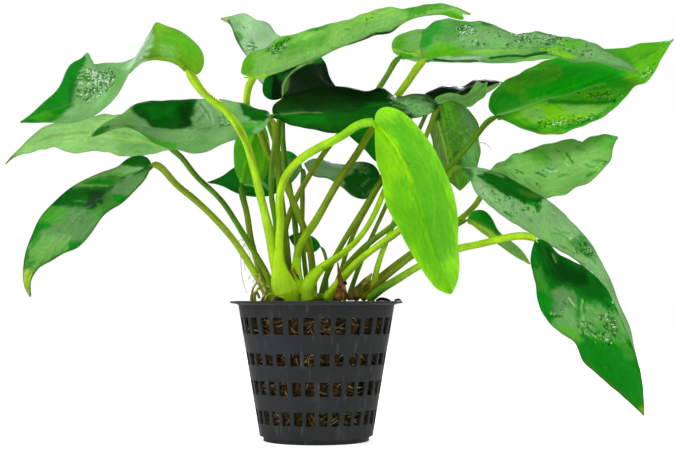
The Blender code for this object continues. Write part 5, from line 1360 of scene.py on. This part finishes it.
def paint_face(surface, look, face, seed):
    """Colours of one face, row by row: its ground colour, then its areas, lines, rib and rim."""
    flat = surface["flat"]
    tint = np.broadcast_to(PAINTS[look[face]], (*flat.shape[:2], 3)).copy()

    def lay(paint, cover, strength):
        tint[:] += (PAINTS[paint] - tint) * cover[..., None] * strength

    tint *= (1 + 0.12 * ripple(flat[..., 0] / 15.0, flat[..., 1] / 15.0, seed))[..., None]
    if look["shown"] in (face, "both"):
        for order, (paint, strength, soft, outline) in enumerate(look["areas"]):
            lay(paint, area_weight(surface, soft, outline, seed + order), strength)
        for paint, strength, width, route in look["lines"]:
            lay(paint, step_up(outline_gap(flat, route, False), 1.5 * width, 0.5 * width), strength)
    streaks = ripple(surface["distance"] / 14.0, surface["signed"] / 1.3, seed + 40)
    tint *= (1 + (0.03 + 0.14 * look["veins"]) * streaks)[..., None]
    if look["rib"]:
        paint, strength = look["rib"]
        lay(paint, np.exp(-(surface["from_rib"] / 0.55) ** 2), strength)
    if look["rim"]:
        paint, strength = look["rim"]
        half_width = np.where(surface["across"] > 0, surface["from_rib"][:, -1:], surface["from_rib"][:, :1])
        lay(paint, step_up(half_width - surface["from_rib"], 0.55, 0.1), 0.6 * strength)
    return np.clip(tint, 0.0, 1.0)


def blade_shape(surface, look):
    """The closed blade: an upper and a lower skin with relief, joined by a narrow rim."""
    points, normals, across = surface["points"], surface["normals"], surface["across"]
    reach = np.abs(across)[None, :]
    phase = surface["phase"]
    gap = np.abs(phase - np.round(phase))
    inner = step_up(reach, 0.04, 0.25) * step_up(reach, 1.0, 0.75)
    quilt = (np.sin(pi * gap) - 0.6) * inner * look["quilt"]
    fade = step_up(surface["shares"], 1.02, 0.5)[:, None]
    groove = look["groove"] * np.exp(-(surface["from_rib"] / 0.75) ** 2) * (0.3 + 0.7 * fade)
    ridge_radius = np.minimum(look["ridge"] * (0.22 + 0.78 * (1 - surface["shares"])) ** 0.8,
                              0.75 * surface["from_rib"].max(axis=1))[:, None]
    ridge = np.sqrt(np.maximum(ridge_radius ** 2 - surface["from_rib"] ** 2, 0.0)) * 0.9
    half = 0.5 * (look["thickness"] - (look["thickness"] - look["edge"]) * reach ** 1.5)
    upper = points + normals * ((half + quilt - groove) * MM)[:, :, None]
    lower = points - normals * ((half - 0.8 * quilt + ridge) * MM)[:, :, None]
    left_rim = points[:, 0] + unit(points[:, 0] - points[:, 1]) * look["edge"] * 0.35 * MM
    right_rim = points[:, -1] + unit(points[:, -1] - points[:, -2]) * look["edge"] * 0.35 * MM
    ring = np.concatenate((upper, right_rim[:, None], lower[:, ::-1], left_rim[:, None]), axis=1)
    rows, columns = phase.shape
    around = 2 * columns + 2
    last = (rows - 1) * around
    top = np.arange(columns - 1)
    under = 2 * columns - top
    cap = np.stack((top + 1, top, under, under - 1), -1)
    quads = np.concatenate((ring_quads(rows, around), cap, cap[:, ::-1] + last))
    corners = np.array([(columns, columns - 1, columns + 1), (2 * columns + 1, 2 * columns, 0)])
    triangles = np.concatenate((corners, corners[:, ::-1] + last))
    return ring.reshape(-1, 3), quads, triangles


def round_blade(upper, lower):
    """Values of the two skins laid out in the order of the closed blade's corners."""
    right = 0.5 * (upper[:, -1] + lower[:, -1])
    left = 0.5 * (upper[:, 0] + lower[:, 0])
    ring = np.concatenate((upper, right[:, None], lower[:, ::-1], left[:, None]), axis=1)
    return ring.reshape(-1, *upper.shape[2:])


def add_blade(node, look, settings, seed):
    """One blade: its skins and midrib, painted, and with the wet patches that its material shows."""
    look = {**PLAIN_BLADE, **look}
    surface = blade_surface(LEAVES[node], settings.fineness / MM, look["wave"], look["notch"], seed)
    surface["phase"] = vein_phase(surface, VEIN_SPACING)
    relief = dict(quilt=0.12 * look["veins"] + 0.02, groove=RIB_GROOVE, ridge=RIB_RIDGE,
                  thickness=settings.thickness / MM, edge=settings.edge_thickness / MM)
    shape = blade_shape(surface, relief)
    upper = paint_face(surface, look, "upper", seed)
    lower = paint_face(surface, look, "lower", seed + 50)
    wet = {"upper": np.zeros(upper.shape[:2]), "lower": np.zeros(upper.shape[:2])}
    for order, (amount, outline) in enumerate(look["wet"]):
        weight = area_weight(surface, 1.0, outline, seed + order) * amount
        for face in wet:
            if look["shown"] in (face, "both"):
                wet[face] = np.maximum(wet[face], weight)
    across = np.broadcast_to(surface["across"], surface["from_rib"].shape)
    values = dict(
        vein=round_blade(surface["phase"], surface["phase"]), across=round_blade(across, across),
        wet=round_blade(wet["upper"], wet["lower"]), vein_strength=np.full(len(shape[0]), look["veins"]))
    slot = look["slot"]
    material = blade_material(slot.replace("leaf_", "Leaf skin "), *BLADE_FINISHES[slot])
    add_piece(node.replace("leaf", "blade"), shape, material, [node],
              round_blade(upper, lower) * np.array(settings.tint), values)


# The stalks

def add_stalk(node, settings, seed):
    """One stalk from the crown into its blade's midrib, thick at the foot and streaked along."""
    tip_radius, foot_radius, route = STEMS[node]
    leaf = LEAVES[node.replace("stem", "leaf")]
    rib = along(spots(leaf["rib"]), np.array([0.0, 0.01, 0.02]))
    route = [*spots(route), *rib]
    length = curve_length(route)
    count = max(int(length / 0.9), 30)
    shares = np.linspace(0.0, 1.0, count)
    centres = eased(seen(along(route, shares)), 2.0)
    swelling = np.clip(1.0 - shares / 0.35, 0.0, 1.0) ** 1.5
    radii = tip_radius + (foot_radius - tip_radius) * swelling
    blade_share = 1 - curve_length(rib) / length
    knee = np.exp(-((shares - blade_share + 3.5 / length) * length / 2.2) ** 2)
    radii = radii * (1 + 0.12 * knee) * (1 - 0.8 * step_up(shares, blade_share - 1.5 / length, 1.0))
    sides = settings.sides
    angles = np.arange(sides) * 2 * pi / sides
    bumps = 0.035 * np.sin(angles[None, :] * 5 + 2 * ripple(shares[:, None] * 3, 0.0, seed))
    bumps = bumps + 0.05 * ripple(shares[:, None] * length / 14.0, np.cos(angles)[None, :] * 0.2, seed)
    shape = sweep(centres, radii * MM, sides, bumps)
    foot, middle, top = (PAINTS[name] for name in STALK_PAINTS.get(node, PLAIN_STALK))
    lower = step_up(shares, 0.05, 0.45)[:, None]
    upper = step_up(shares, 0.55, 0.98)[:, None]
    tint = foot * (1 - lower) + middle * lower
    tint = tint * (1 - upper) + top * upper
    # The darker lengthwise stripes round each stalk are partly its own ridged colouring and partly painted
    # shade for its darker sides.
    turn = angles[None, :] * 2 + 0.9 * ripple(shares[:, None] * 2.5, 0.0, seed + 7)
    stripes = step_up(np.sin(turn), -0.1, 0.9) * (0.6 + 0.3 * ripple(shares[:, None] * 3, 0.0, seed + 9))
    shade = 0.45 * tint + 0.12 * PAINTS["rust"]
    paints = tint[:, None] + (shade - tint)[:, None] * stripes[..., None]
    drift = 0.1 * ripple(shares[:, None] * length / 9.0, np.cos(angles)[None, :] * 0.6, seed + 8)
    paints = (paints * (1 + drift)[..., None]).reshape(-1, 3)
    paints = np.concatenate((paints, tint[:1], tint[-1:])) * np.array(settings.tint)
    add_piece(node.replace("stem", "stalk"), shape, stalk_material(), [node], paints)


# The pot

def wall_radius(height):
    """The wall's outer radius at a height, in millimetres."""
    widening = (height - FOOT_HEIGHT) * (RIM_RADIUS - WALL_FOOT_RADIUS) / (POT_HEIGHT - FOOT_HEIGHT)
    return WALL_FOOT_RADIUS + widening


def wall_columns(ease):
    """Angles of the wall's columns, each with the kind of strip that starts there."""
    group_angle = 2 * pi / GROUPS
    wide_bar = group_angle - 2 * SLOT_ANGLE - NARROW_BAR_ANGLE
    columns = []
    for group in range(GROUPS):
        angle = GROUP_TURN + group * group_angle + wide_bar / 2
        for strip, width in (("slot", SLOT_ANGLE), ("bar", NARROW_BAR_ANGLE), ("slot", SLOT_ANGLE),
                             ("wide", wide_bar)):
            if strip == "slot":
                columns += [(angle, "corner_start"), (angle + ease, "slot"), (angle + width / 2, "slot"),
                            (angle + width - ease, "corner_end")]
            elif strip == "bar":
                columns += [(angle, "bar"), (angle + width / 2, "bar")]
            else:
                columns += [(angle + width * share, "bar") for share in (0.0, 0.36, 0.46, 0.54, 0.64)]
            angle += width
    return columns


def pot_wall(ease):
    """The pot's outer skin from its foot to under the lip, with every slot left open."""
    columns = wall_columns(ease / 21.0)
    heights = []
    for low, high in SLOT_ROWS:
        heights += [(low, "corner_low"), (low + ease, "open"), (high - ease, "corner_high"), (high, "solid")]
        heights += [(high + 1.6, "solid")]
    heights = [(FOOT_HEIGHT, "solid"), (3.7, "solid")] + heights + [(42.4, "solid"), (43.5, "solid")]
    across, up = len(columns), len(heights)
    corners, quads, triangles = [], [], []
    for height, _ in heights:
        for angle, _ in columns:
            radius = wall_radius(height)
            corners.append((radius * cos(angle), radius * sin(angle), height))
    for row in range(up - 1):
        for column in range(across):
            after = (column + 1) % across
            here = (row * across + column, row * across + after, (row + 1) * across + after,
                    (row + 1) * across + column)
            strip, band = columns[column][1], heights[row][1]
            if strip == "bar" or band == "solid":
                quads.append(here)
            elif strip != "slot" and band != "open":
                # The slot's corner is filled on its outer side, so that the slot ends in a small arc.
                fill = {("corner_start", "corner_low"): (0, 1, 3), ("corner_end", "corner_low"): (1, 2, 0),
                        ("corner_start", "corner_high"): (3, 0, 2), ("corner_end", "corner_high"): (2, 3, 1)}
                first, second, third = (here[place] for place in fill[strip, band])
                triangles.append((first, second, third))
    return np.array(corners) * MM, np.array(quads), np.array(triangles)


def turned(profile, steps):
    """A closed ring turned round the pot's axis from a closed (radius, height) outline."""
    profile = np.asarray(profile, float)
    angles = np.arange(steps) * 2 * pi / steps
    corners = np.stack((profile[None, :, 0] * np.cos(angles)[:, None],
                        profile[None, :, 0] * np.sin(angles)[:, None],
                        np.broadcast_to(profile[None, :, 1], (steps, len(profile)))), -1).reshape(-1, 3)
    count = len(profile)
    step, place = np.meshgrid(np.arange(steps), np.arange(count), indexing="ij")
    after, ahead = (step + 1) % steps, (place + 1) % count
    quads = np.stack((step * count + place, after * count + place, after * count + ahead,
                      step * count + ahead), -1).reshape(-1, 4)
    return corners * MM, quads, np.empty((0, 3), int)


def add_pot(settings):
    """The pot: its slotted wall, with its thickness and soft edges, its lip and its stepped foot."""
    plastic = pot_material(settings.plastic)
    wall = add_piece("net_pot_wall", pot_wall(settings.slot_ease / MM), plastic, ["pot"])
    shell = wall.modifiers.new("Wall", "SOLIDIFY")
    shell.thickness = settings.wall
    shell.offset = -1.0
    shell.use_even_offset = True
    rounding = wall.modifiers.new("Soft edges", "BEVEL")
    rounding.width = ROUNDING * MM
    rounding.segments = 2
    rounding.limit_method = "ANGLE"
    rounding.angle_limit = radians(50)
    rounding.harden_normals = True
    add_piece("net_pot_lip", turned(LIP_OUTLINE, TURNED_STEPS), plastic, ["pot"])
    add_piece("net_pot_foot", turned(FOOT_OUTLINE, TURNED_STEPS), plastic, ["pot"])


# The wool

def wool_radius(height, inset=0.0):
    return wall_radius(height) - WALL_CLEARANCE - PLUG_GAP - inset


def add_wool(settings):
    """The plug: a lumpy body, with hundreds of strands felted over its side and top."""
    random = np.random.default_rng(11)
    rows, sides, low_end, high_end = 60, 150, 6, 14
    crest = PLUG_TOP - 0.3
    heights = np.concatenate((np.full(low_end, PLUG_FOOT), np.linspace(PLUG_FOOT, PLUG_TOP - 0.6, rows),
                              np.full(high_end, crest)))
    inward = np.concatenate((np.linspace(0.02, 0.95, low_end), np.ones(rows),
                             np.linspace(0.97, 0.02, high_end)))
    angles = np.arange(sides) * 2 * pi / sides
    radius = wool_radius(heights, 0.35) * inward
    lumps = ripple(heights[:, None] / 7.0 + inward[:, None] * 2, np.cos(angles)[None, :] * 3, 3) \
        + 0.7 * ripple(heights[:, None] / 3.0, np.sin(angles)[None, :] * 8, 4)
    reach = radius[:, None] - 0.45 * np.clip(lumps + 0.4, 0.0, 1.6) * step_up(inward, 0.6, 1.0)[:, None]
    reach = np.maximum(reach, 0.05)
    on_top = (heights > PLUG_TOP - 0.5)[:, None]
    rise = heights[:, None] + 0.45 * lumps * on_top * step_up(inward, 1.0, 0.9)[:, None]
    rings = np.stack((reach * np.cos(angles), reach * np.sin(angles), rise), -1)
    corners, quads, triangles = capped(rings, (0, 0, PLUG_FOOT), (0, 0, crest))
    tint = np.array(settings.tint)
    deep = fibre_material("Wool, deep", linear(22, 16, 5) * tint, linear(74, 56, 26) * tint, 420.0)
    add_piece("wool_plug", (corners * MM, quads, triangles), deep, ["growing_medium"])

    for name, (dark, light, share, coarse) in WOOL_STRANDS.items():
        strands = [wool_strand(random, random.random() < 0.2, coarse)
                   for _ in range(int(settings.strands * share))]
        material = fibre_material(name.replace("_", " ").capitalize(), linear(*dark) * tint,
                                  linear(*light) * tint, 700.0)
        add_piece(name, joined(strands), material, ["growing_medium"])


def wool_strand(random, on_top, coarse):
    """One wandering strand, felted into the plug's side or lying on its top."""
    points = 9
    length = random.uniform(2.5, 8.0)
    heading = random.uniform(-0.9, 0.9) + (pi if random.random() < 0.5 else 0.0)
    turns = np.cumsum(random.normal(0.0, 0.28, points))
    step = length / (points - 1)
    thickness = random.uniform(0.07, 0.17) * coarse
    lift = random.uniform(-0.35, 0.2) + 0.25 * np.sin(np.linspace(0, pi, points)) * random.random()
    if on_top:
        radius, start = 22.0 * random.random() ** 0.5, random.uniform(0, 2 * pi)
        x = radius * cos(start) + np.cumsum(np.cos(heading + turns)) * step
        y = radius * sin(start) + np.cumsum(np.sin(heading + turns)) * step
        far = np.maximum(np.hypot(x, y) / 23.3, 1.0)
        places = np.stack((x / far, y / far, PLUG_TOP + lift + random.uniform(-0.3, 0.4)), -1)
    else:
        height = random.uniform(4.0, 41.5) + np.cumsum(np.sin(heading + turns)) * step * 0.8
        height = np.clip(height, 3.4, 42.0)
        angle = random.uniform(0, 2 * pi) + np.cumsum(np.cos(heading + turns)) * step / 20.0
        radius = wool_radius(height) + lift - 0.1
        places = np.stack((radius * np.cos(angle), radius * np.sin(angle), height), -1)
    radii = thickness * np.sin(np.linspace(0.25, pi - 0.25, points)) ** 0.5
    return sweep(places * MM, radii * MM, 4)


# The crown

# Routes as (x, z, depth) like the leaves', and radii from the first end to the last.
RHIZOME_ROUTE = "-8,44.9,1.6 -4,45.2,0.6 0,45.0,-1.6 4,45.3,3.8 9,45,2.5"
RHIZOME_THICKNESS = [0.6, 1.0, 0.8, 0.75, 0.5]
RHIZOME_RADIUS = 1.9
ROOT_ROUTE = ("-16.2,43.6,-9.5 -17.3,47.5,-10.5 -18.6,50.3,-10.5 -20.2,48.3,-9.5 -20.4,45.2,-8 "
              "-18.9,43.6,-6")
ROOT_CURLS = [
    ((0.5, 0.4, 0.3), "-19.5,43.4,-12 -19.6,46.4,-12.5 -18.4,48.2,-13 -17,46.6,-13 -17.4,44.4,-12"),
    ((0.45, 0.4, 0.3), "-17.8,43.6,-13.5 -16.6,46,-14 -15,48.8,-14 -13.6,47,-14 -14.4,44.2,-13.5"),
    ((0.4, 0.45, 0.3), "-15.8,43.6,-14.5 -16.2,46.6,-15 -17.6,50,-14.5 -18.6,52.6,-13.5 -19.4,51.2,-13"),
    ((0.5, 0.45, 0.4), "-20.4,43.6,-10 -20.6,46,-10.5 -19.4,47,-11 -18.2,45,-11"),
    ((0.4, 0.35, 0.3), "-14.4,43.8,-16 -12.8,45.6,-16.5 -11,45.2,-17 -9.8,44.4,-16.5"),
    ((0.45, 0.35, 0.3), "-12.8,43.8,-15 -11.6,46,-15.6 -10,45.8,-16 -8.6,44.2,-16"),
    ((0.3, 0.3, 0.2), "-16.8,44,-15.5 -15.8,45.6,-16 -14.6,46.6,-16 -13.8,44.6,-15.8"),
]
ROOT_HAIRS = [
    "51.8,94.6,4 53,95,3.6 54.4,94.6,3.4 55.6,93.6,3.4 56.2,92.8,3.4",
    "-25.2,62.6,-9 -24.2,63.8,-10 -23,63.2,-10 -23.4,61.6,-10 -24.6,61.2,-10 -25,62.4,-10",
    "-24.6,61.4,-11 -24.2,57,-12 -23.8,52,-13 -22.9,48.6,-13.5 -22.2,46.8,-14",
    "-24.2,60.4,-11 -23.2,56.6,-12 -22.8,54,-12.4",
    "-21.8,51.2,-12 -20.6,52.6,-12.4 -19.6,51.6,-12.6 -18.8,50,-13",
    "-20.4,50,-12 -18.8,51.8,-12.6 -17.6,50.2,-13 -17,48.4,-13.4",
    "-23.6,62.4,-10.4 -21.8,60.4,-10.8 -21.2,57.6,-11",
]
CROWN_SWELLINGS = [
    ("stalk", (3.9, 4.2, 3.6, 2.5, 1.7, 1.3), "-9.6,44.2,-12.8 -9.8,46.6,-13.2 -10.7,49.6,-14 "
        "-11.7,53.4,-15.2 -12.1,57,-15.8 -12,61,-16"),
    ("stalk", (2.0, 1.9, 1.5, 1.2), "-6.4,46,-11.5 -6.2,49.6,-10 -6.6,53,-8 -6.4,57.6,-5.6"),
    ("stalk", (2.4, 2.5, 1.9, 1.2), "-3.4,44.2,-10.4 -3.6,46.4,-10.4 -2,50.4,-10 1.6,54.4,-9"),
]
CROWN_SCARS = [
    ((0.35, 0.7, 0.5, 0.1), "-9,54.4,-13.8 -8.2,53.4,-14.4 -7.6,51.6,-14.6 -6.9,50,-14.6"),
    ((0.2, 0.4, 0.35, 0.1), "-7.4,54.8,-11.6 -6.8,53.4,-12.2 -5.9,52,-12.6 -5.3,50.8,-12.6"),
    ((0.55, 0.8, 0.7, 0.35), "8.9,44.2,-12.6 9,46.4,-12.8 8.8,48.4,-12.8 9.1,49.8,-12.6"),
]
DARK_CRUMBS = [
    ((0.3, 0.45, 0.3), "8.6,49.6,-13 9.2,50.2,-13 9.6,49.4,-13"),
    ((0.3, 0.6, 0.5, 0.2), "19,44.3,-6 20.6,44.8,-6 22,44.7,-6 23.6,44.3,-5"),
    ((0.3, 0.4, 0.2), "25,44.4,-3 26,44.6,-3 27,44.4,-2"),
    ((0.3, 0.5, 0.3), "-13.2,44.1,-17.5 -12,44.6,-18 -10.4,44.2,-18.4"),
]


def add_rhizome():
    """The creeping rootstock: a lumpy ringed tube half sunk in the wool."""
    shares = np.linspace(0, 1, 90)
    centres = seen(along(spots(RHIZOME_ROUTE), shares))
    girth = np.interp(shares * 4, range(5), RHIZOME_THICKNESS) * RHIZOME_RADIUS
    girth = girth * np.sqrt(np.clip(np.minimum(shares, 1 - shares) / 0.06, 0.02, 1.0))
    angles = np.arange(32) * 2 * pi / 32
    bumps = 0.05 * np.sin(shares * 60)[:, None]
    bumps = bumps + 0.08 * ripple(shares[:, None] * 5, np.cos(angles)[None, :], 8)
    shape = sweep(centres, girth * MM, 32, bumps)
    add_piece("rootstock", shape, stalk_material(), ["rhizome"],
              np.tile(PAINTS["olive"], (len(shape[0]), 1)))


def tube(route, radii, sides=10, steps=40):
    """A smooth tube along a written route, its thickness passing evenly from each radius to the next."""
    shares = np.linspace(0.0, 1.0, steps)
    girth = np.interp(shares * (len(radii) - 1), range(len(radii)), radii)
    return sweep(seen(along(spots(route), shares)), girth * MM, sides)


def add_roots():
    """The looping aerial root, the curly roots beside it and the fine hairs that hang from them."""
    main = tube(ROOT_ROUTE, (0.45, 0.3), 10, 80)
    material = fibre_material("Root skin", linear(120, 110, 50), linear(200, 190, 110), 500.0)
    add_piece("aerial_root", main, material, ["root"])
    curls = [tube(route, radii, 8) for radii, route in ROOT_CURLS]
    olive = fibre_material("Root curl skin", linear(86, 92, 22), linear(176, 178, 84), 700.0)
    add_piece("root_curls", joined(curls), olive)
    hairs = [tube(route, (0.13, 0.09), 5) for route in ROOT_HAIRS]
    pale = fibre_material("Root hair skin", linear(150, 158, 84), linear(206, 210, 150), 700.0)
    add_piece("root_hairs", joined(hairs), pale)


def add_crown_base():
    """The swollen foot where the tallest stalks join, its torn brown scar and the old stumps."""
    shapes = [tube(route, radii, 28, 50) for _, radii, route in CROWN_SWELLINGS]
    paints = [np.tile(PAINTS[paint], (len(shape[0]), 1))
              for shape, (paint, _, _) in zip(shapes, CROWN_SWELLINGS)]
    add_piece("crown_swelling", joined(shapes), stalk_material(), paints=np.concatenate(paints))
    scar = fibre_material("Old scar", linear(70, 46, 14), linear(150, 116, 56), 900.0)
    add_piece("crown_scar", joined([tube(route, radii, 10) for radii, route in CROWN_SCARS]), scar)
    crumb = fibre_material("Dark crumb", linear(18, 14, 8), linear(46, 38, 22), 900.0)
    add_piece("wool_crumbs", joined([tube(route, radii, 10) for radii, route in DARK_CRUMBS]), crumb)


def add_sheaths():
    """The brown remains of two old leaf sheaths."""
    browns = fibre_material("Old sheath", linear(74, 44, 14), linear(150, 102, 44), 600.0)
    olives = fibre_material("Olive sheath", linear(72, 54, 16), linear(122, 124, 30), 300.0)
    for order, (node, material) in enumerate((("old_sheath_01", browns), ("old_sheath_02", olives))):
        surface = blade_surface(LEAVES[node], 0.35, 0.4, 0.0, 300 + order)
        surface["phase"] = surface["from_rib"] / 0.8
        relief = dict(quilt=0.1, groove=0.0, ridge=0.2, thickness=0.5, edge=0.2)
        add_piece(node.replace("old_", "withered_"), blade_shape(surface, relief), material, [node])


# The studio

def add_light(name, place, target, size, power, mirrored):
    """A soft rectangular lamp at a place, turned towards a target; lengths in metres."""
    data = bpy.data.lights.new(name, "AREA")
    data.shape = "RECTANGLE"
    data.size, data.size_y = size
    data.energy = power
    lamp = bpy.data.objects.new(name, data)
    lamp.location = place
    lamp.visible_glossy = mirrored
    lamp.rotation_euler = (Vector(target) - Vector(place)).to_track_quat("-Z", "Y").to_euler()
    collection("anubias_studio").objects.link(lamp)


def make_world(ambient, mirrored):
    """White to the camera, dimmer to the plant's soft light and dimmest in its gloss."""
    world = bpy.data.worlds.new("White studio")
    world.use_nodes = True
    tree = world.node_tree
    path = tree.nodes.new("ShaderNodeLightPath")
    strength = math_node(tree, "MULTIPLY_ADD", path.outputs["Is Glossy Ray"], mirrored - ambient, ambient)
    strength = math_node(tree, "MAXIMUM", strength, path.outputs["Is Camera Ray"])
    background = tree.nodes["Background"]
    background.inputs["Color"].default_value = (1.0, 1.0, 1.0, 1.0)
    tree.links.new(strength, background.inputs["Strength"])
    bpy.context.scene.world = world


def add_floor(glow):
    """A wide white floor that glows a little, and stays dark in the plant's gloss."""
    mesh = bpy.data.meshes.new("studio_floor")
    reach = 3.0
    mesh.from_pydata([(-reach, -reach, 0), (reach, -reach, 0), (reach, reach, 0), (-reach, reach, 0)], [],
                     [(0, 1, 2, 3)])
    floor = bpy.data.objects.new("studio_floor", mesh)
    material, tree, shader = new_material("Studio white", Roughness=0.9, Specular_IOR_Level=0.1)
    glossy = tree.nodes.new("ShaderNodeLightPath").outputs["Is Glossy Ray"]
    white = mix_node(tree, glossy, (0.86, 0.86, 0.86), (0.03, 0.03, 0.03))
    tree.links.new(white, shader.inputs["Base Color"])
    shader.inputs["Emission Color"].default_value = (1.0, 1.0, 1.0, 1.0)
    strength = math_node(tree, "MULTIPLY_ADD", glossy, -glow, glow)
    tree.links.new(strength, shader.inputs["Emission Strength"])
    mesh.materials.append(material)
    collection("anubias_studio").objects.link(floor)


def add_camera():
    data = bpy.data.cameras.new("photo_view")
    data.lens = CAMERA_LENS
    data.sensor_width = SENSOR_WIDTH
    data.clip_start = 0.01
    camera = bpy.data.objects.new("photo_view", data)
    camera.location = (EYE_X * MM, -EYE_DISTANCE * MM, EYE_HEIGHT * MM)
    camera.rotation_euler = (pi / 2 + CAMERA_PITCH, 0.0, 0.0)
    collection("anubias_studio").objects.link(camera)
    bpy.context.scene.camera = camera


# Settings, operators and panel

class BladeSettings(bpy.types.PropertyGroup):
    fineness: bpy.props.FloatProperty(
        name="Fineness", description="Distance between the points of a blade's surface",
        default=0.5 * MM, min=0.2 * MM, unit="LENGTH", precision=5)
    thickness: bpy.props.FloatProperty(
        name="Thickness", description="Thickness of a blade beside its midrib",
        default=0.46 * MM, unit="LENGTH", precision=5)
    edge_thickness: bpy.props.FloatProperty(
        name="Edge thickness", description="Thickness of a blade at its margin",
        default=0.22 * MM, unit="LENGTH", precision=5)
    tint: bpy.props.FloatVectorProperty(
        name="Tint", description="Colour laid over every blade; white leaves the blades as painted",
        default=(1.0, 1.0, 1.0), min=0.0, max=1.0, subtype="COLOR")


class StalkSettings(bpy.types.PropertyGroup):
    sides: bpy.props.IntProperty(
        name="Sides", description="Points round each stalk", default=18, min=6)
    tint: bpy.props.FloatVectorProperty(
        name="Tint", description="Colour laid over every stalk; white leaves the stalks as painted",
        default=(1.0, 1.0, 1.0), min=0.0, max=1.0, subtype="COLOR")


class PotSettings(bpy.types.PropertyGroup):
    wall: bpy.props.FloatProperty(
        name="Wall", description="Thickness of the pot's wall", default=0.8 * MM, unit="LENGTH", precision=5)
    slot_ease: bpy.props.FloatProperty(
        name="Slot corner", description="Size of the eased corner of each slot",
        default=0.3 * MM, unit="LENGTH", precision=5)
    plastic: bpy.props.FloatVectorProperty(
        name="Plastic", description="Colour of the pot's plastic",
        default=tuple(linear(44, 47, 48)), min=0.0, max=1.0, subtype="COLOR")


class WoolSettings(bpy.types.PropertyGroup):
    strands: bpy.props.IntProperty(
        name="Strands", description="Number of wool strands over the plug", default=1500, min=0)
    tint: bpy.props.FloatVectorProperty(
        name="Tint", description="Colour laid over the wool; white leaves it brown and olive",
        default=(1.0, 1.0, 1.0), min=0.0, max=1.0, subtype="COLOR")


class StudioSettings(bpy.types.PropertyGroup):
    ambient: bpy.props.FloatProperty(
        name="Ambient", description="Brightness of the white surroundings on matt surfaces", default=0.55)
    mirrored: bpy.props.FloatProperty(
        name="Mirrored", description="Brightness of the white surroundings in glossy surfaces", default=0.03)
    floor_glow: bpy.props.FloatProperty(
        name="Floor glow", description="Light that the white floor gives by itself", default=0.55)


class AnubiasSettings(bpy.types.PropertyGroup):
    blades: bpy.props.PointerProperty(type=BladeSettings, name="Blades", description="Leaf blades")
    stalks: bpy.props.PointerProperty(type=StalkSettings, name="Stalks", description="Leaf stalks")
    pot: bpy.props.PointerProperty(type=PotSettings, name="Pot", description="Net pot")
    wool: bpy.props.PointerProperty(type=WoolSettings, name="Wool", description="Wool plug")
    studio: bpy.props.PointerProperty(type=StudioSettings, name="Studio", description="Light and floor")


class ANUBIAS_OT_studio(bpy.types.Operator):
    """Set up the white floor, the soft lamps and the camera"""
    bl_idname = "anubias.studio"
    bl_label = "Set Up Studio"

    def execute(self, context):
        settings = context.scene.anubias.studio
        context.scene.view_settings.view_transform = "Standard"
        make_world(settings.ambient, settings.mirrored)
        add_floor(settings.floor_glow)
        add_camera()
        for name, lamp in LAMPS.items():
            add_light(name, *lamp)
        return {"FINISHED"}


class ANUBIAS_OT_blades(bpy.types.Operator):
    """Make the twenty-four leaf blades"""
    bl_idname = "anubias.blades"
    bl_label = "Make Blades"

    def execute(self, context):
        for order, (node, look) in enumerate(BLADES.items()):
            add_blade(node, look, context.scene.anubias.blades, 10 * order + 1)
        return {"FINISHED"}


class ANUBIAS_OT_stalks(bpy.types.Operator):
    """Make the twenty-four leaf stalks"""
    bl_idname = "anubias.stalks"
    bl_label = "Make Stalks"

    def execute(self, context):
        for order, node in enumerate(STEMS):
            add_stalk(node, context.scene.anubias.stalks, 500 + order)
        return {"FINISHED"}


class ANUBIAS_OT_crown(bpy.types.Operator):
    """Make the rootstock, the roots, the swollen foot of the stalks and the old sheaths"""
    bl_idname = "anubias.crown"
    bl_label = "Make Crown"

    def execute(self, context):
        add_rhizome()
        add_roots()
        add_crown_base()
        add_sheaths()
        return {"FINISHED"}


class ANUBIAS_OT_wool(bpy.types.Operator):
    """Make the wool plug and its strands"""
    bl_idname = "anubias.wool"
    bl_label = "Make Wool"

    def execute(self, context):
        add_wool(context.scene.anubias.wool)
        return {"FINISHED"}


class ANUBIAS_OT_pot(bpy.types.Operator):
    """Make the slotted net pot"""
    bl_idname = "anubias.pot"
    bl_label = "Make Pot"

    def execute(self, context):
        add_pot(context.scene.anubias.pot)
        return {"FINISHED"}


class ANUBIAS_PT_panel(bpy.types.Panel):
    """Lists the steps of the potted anubias"""
    bl_idname = "ANUBIAS_PT_panel"
    bl_label = "Potted Anubias"
    bl_space_type = "VIEW_3D"
    bl_region_type = "UI"
    bl_category = "Anubias"

    def draw(self, context):
        settings = context.scene.anubias
        for operator, group in PANEL_ROWS:
            box = self.layout.box()
            box.operator(operator)
            if group:
                chosen = getattr(settings, group)
                for label in chosen.__annotations__:
                    box.prop(chosen, label)


PANEL_ROWS = [("anubias.studio", "studio"), ("anubias.pot", "pot"), ("anubias.wool", "wool"),
              ("anubias.crown", None), ("anubias.stalks", "stalks"), ("anubias.blades", "blades")]

CLASSES = (BladeSettings, StalkSettings, PotSettings, WoolSettings, StudioSettings, AnubiasSettings,
           ANUBIAS_OT_studio, ANUBIAS_OT_pot, ANUBIAS_OT_wool, ANUBIAS_OT_crown, ANUBIAS_OT_stalks,
           ANUBIAS_OT_blades, ANUBIAS_PT_panel)


def register():
    for item in CLASSES:
        bpy.utils.register_class(item)
    bpy.types.Scene.anubias = bpy.props.PointerProperty(type=AnubiasSettings)


def unregister():
    del bpy.types.Scene.anubias
    for item in reversed(CLASSES):
        bpy.utils.unregister_class(item)


def main():
    register()
    bpy.ops.anubias.studio()
    bpy.ops.anubias.pot()
    bpy.ops.anubias.wool()
    bpy.ops.anubias.crown()
    bpy.ops.anubias.stalks()
    bpy.ops.anubias.blades()
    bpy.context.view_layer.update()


if __name__ == "__main__":
    main()
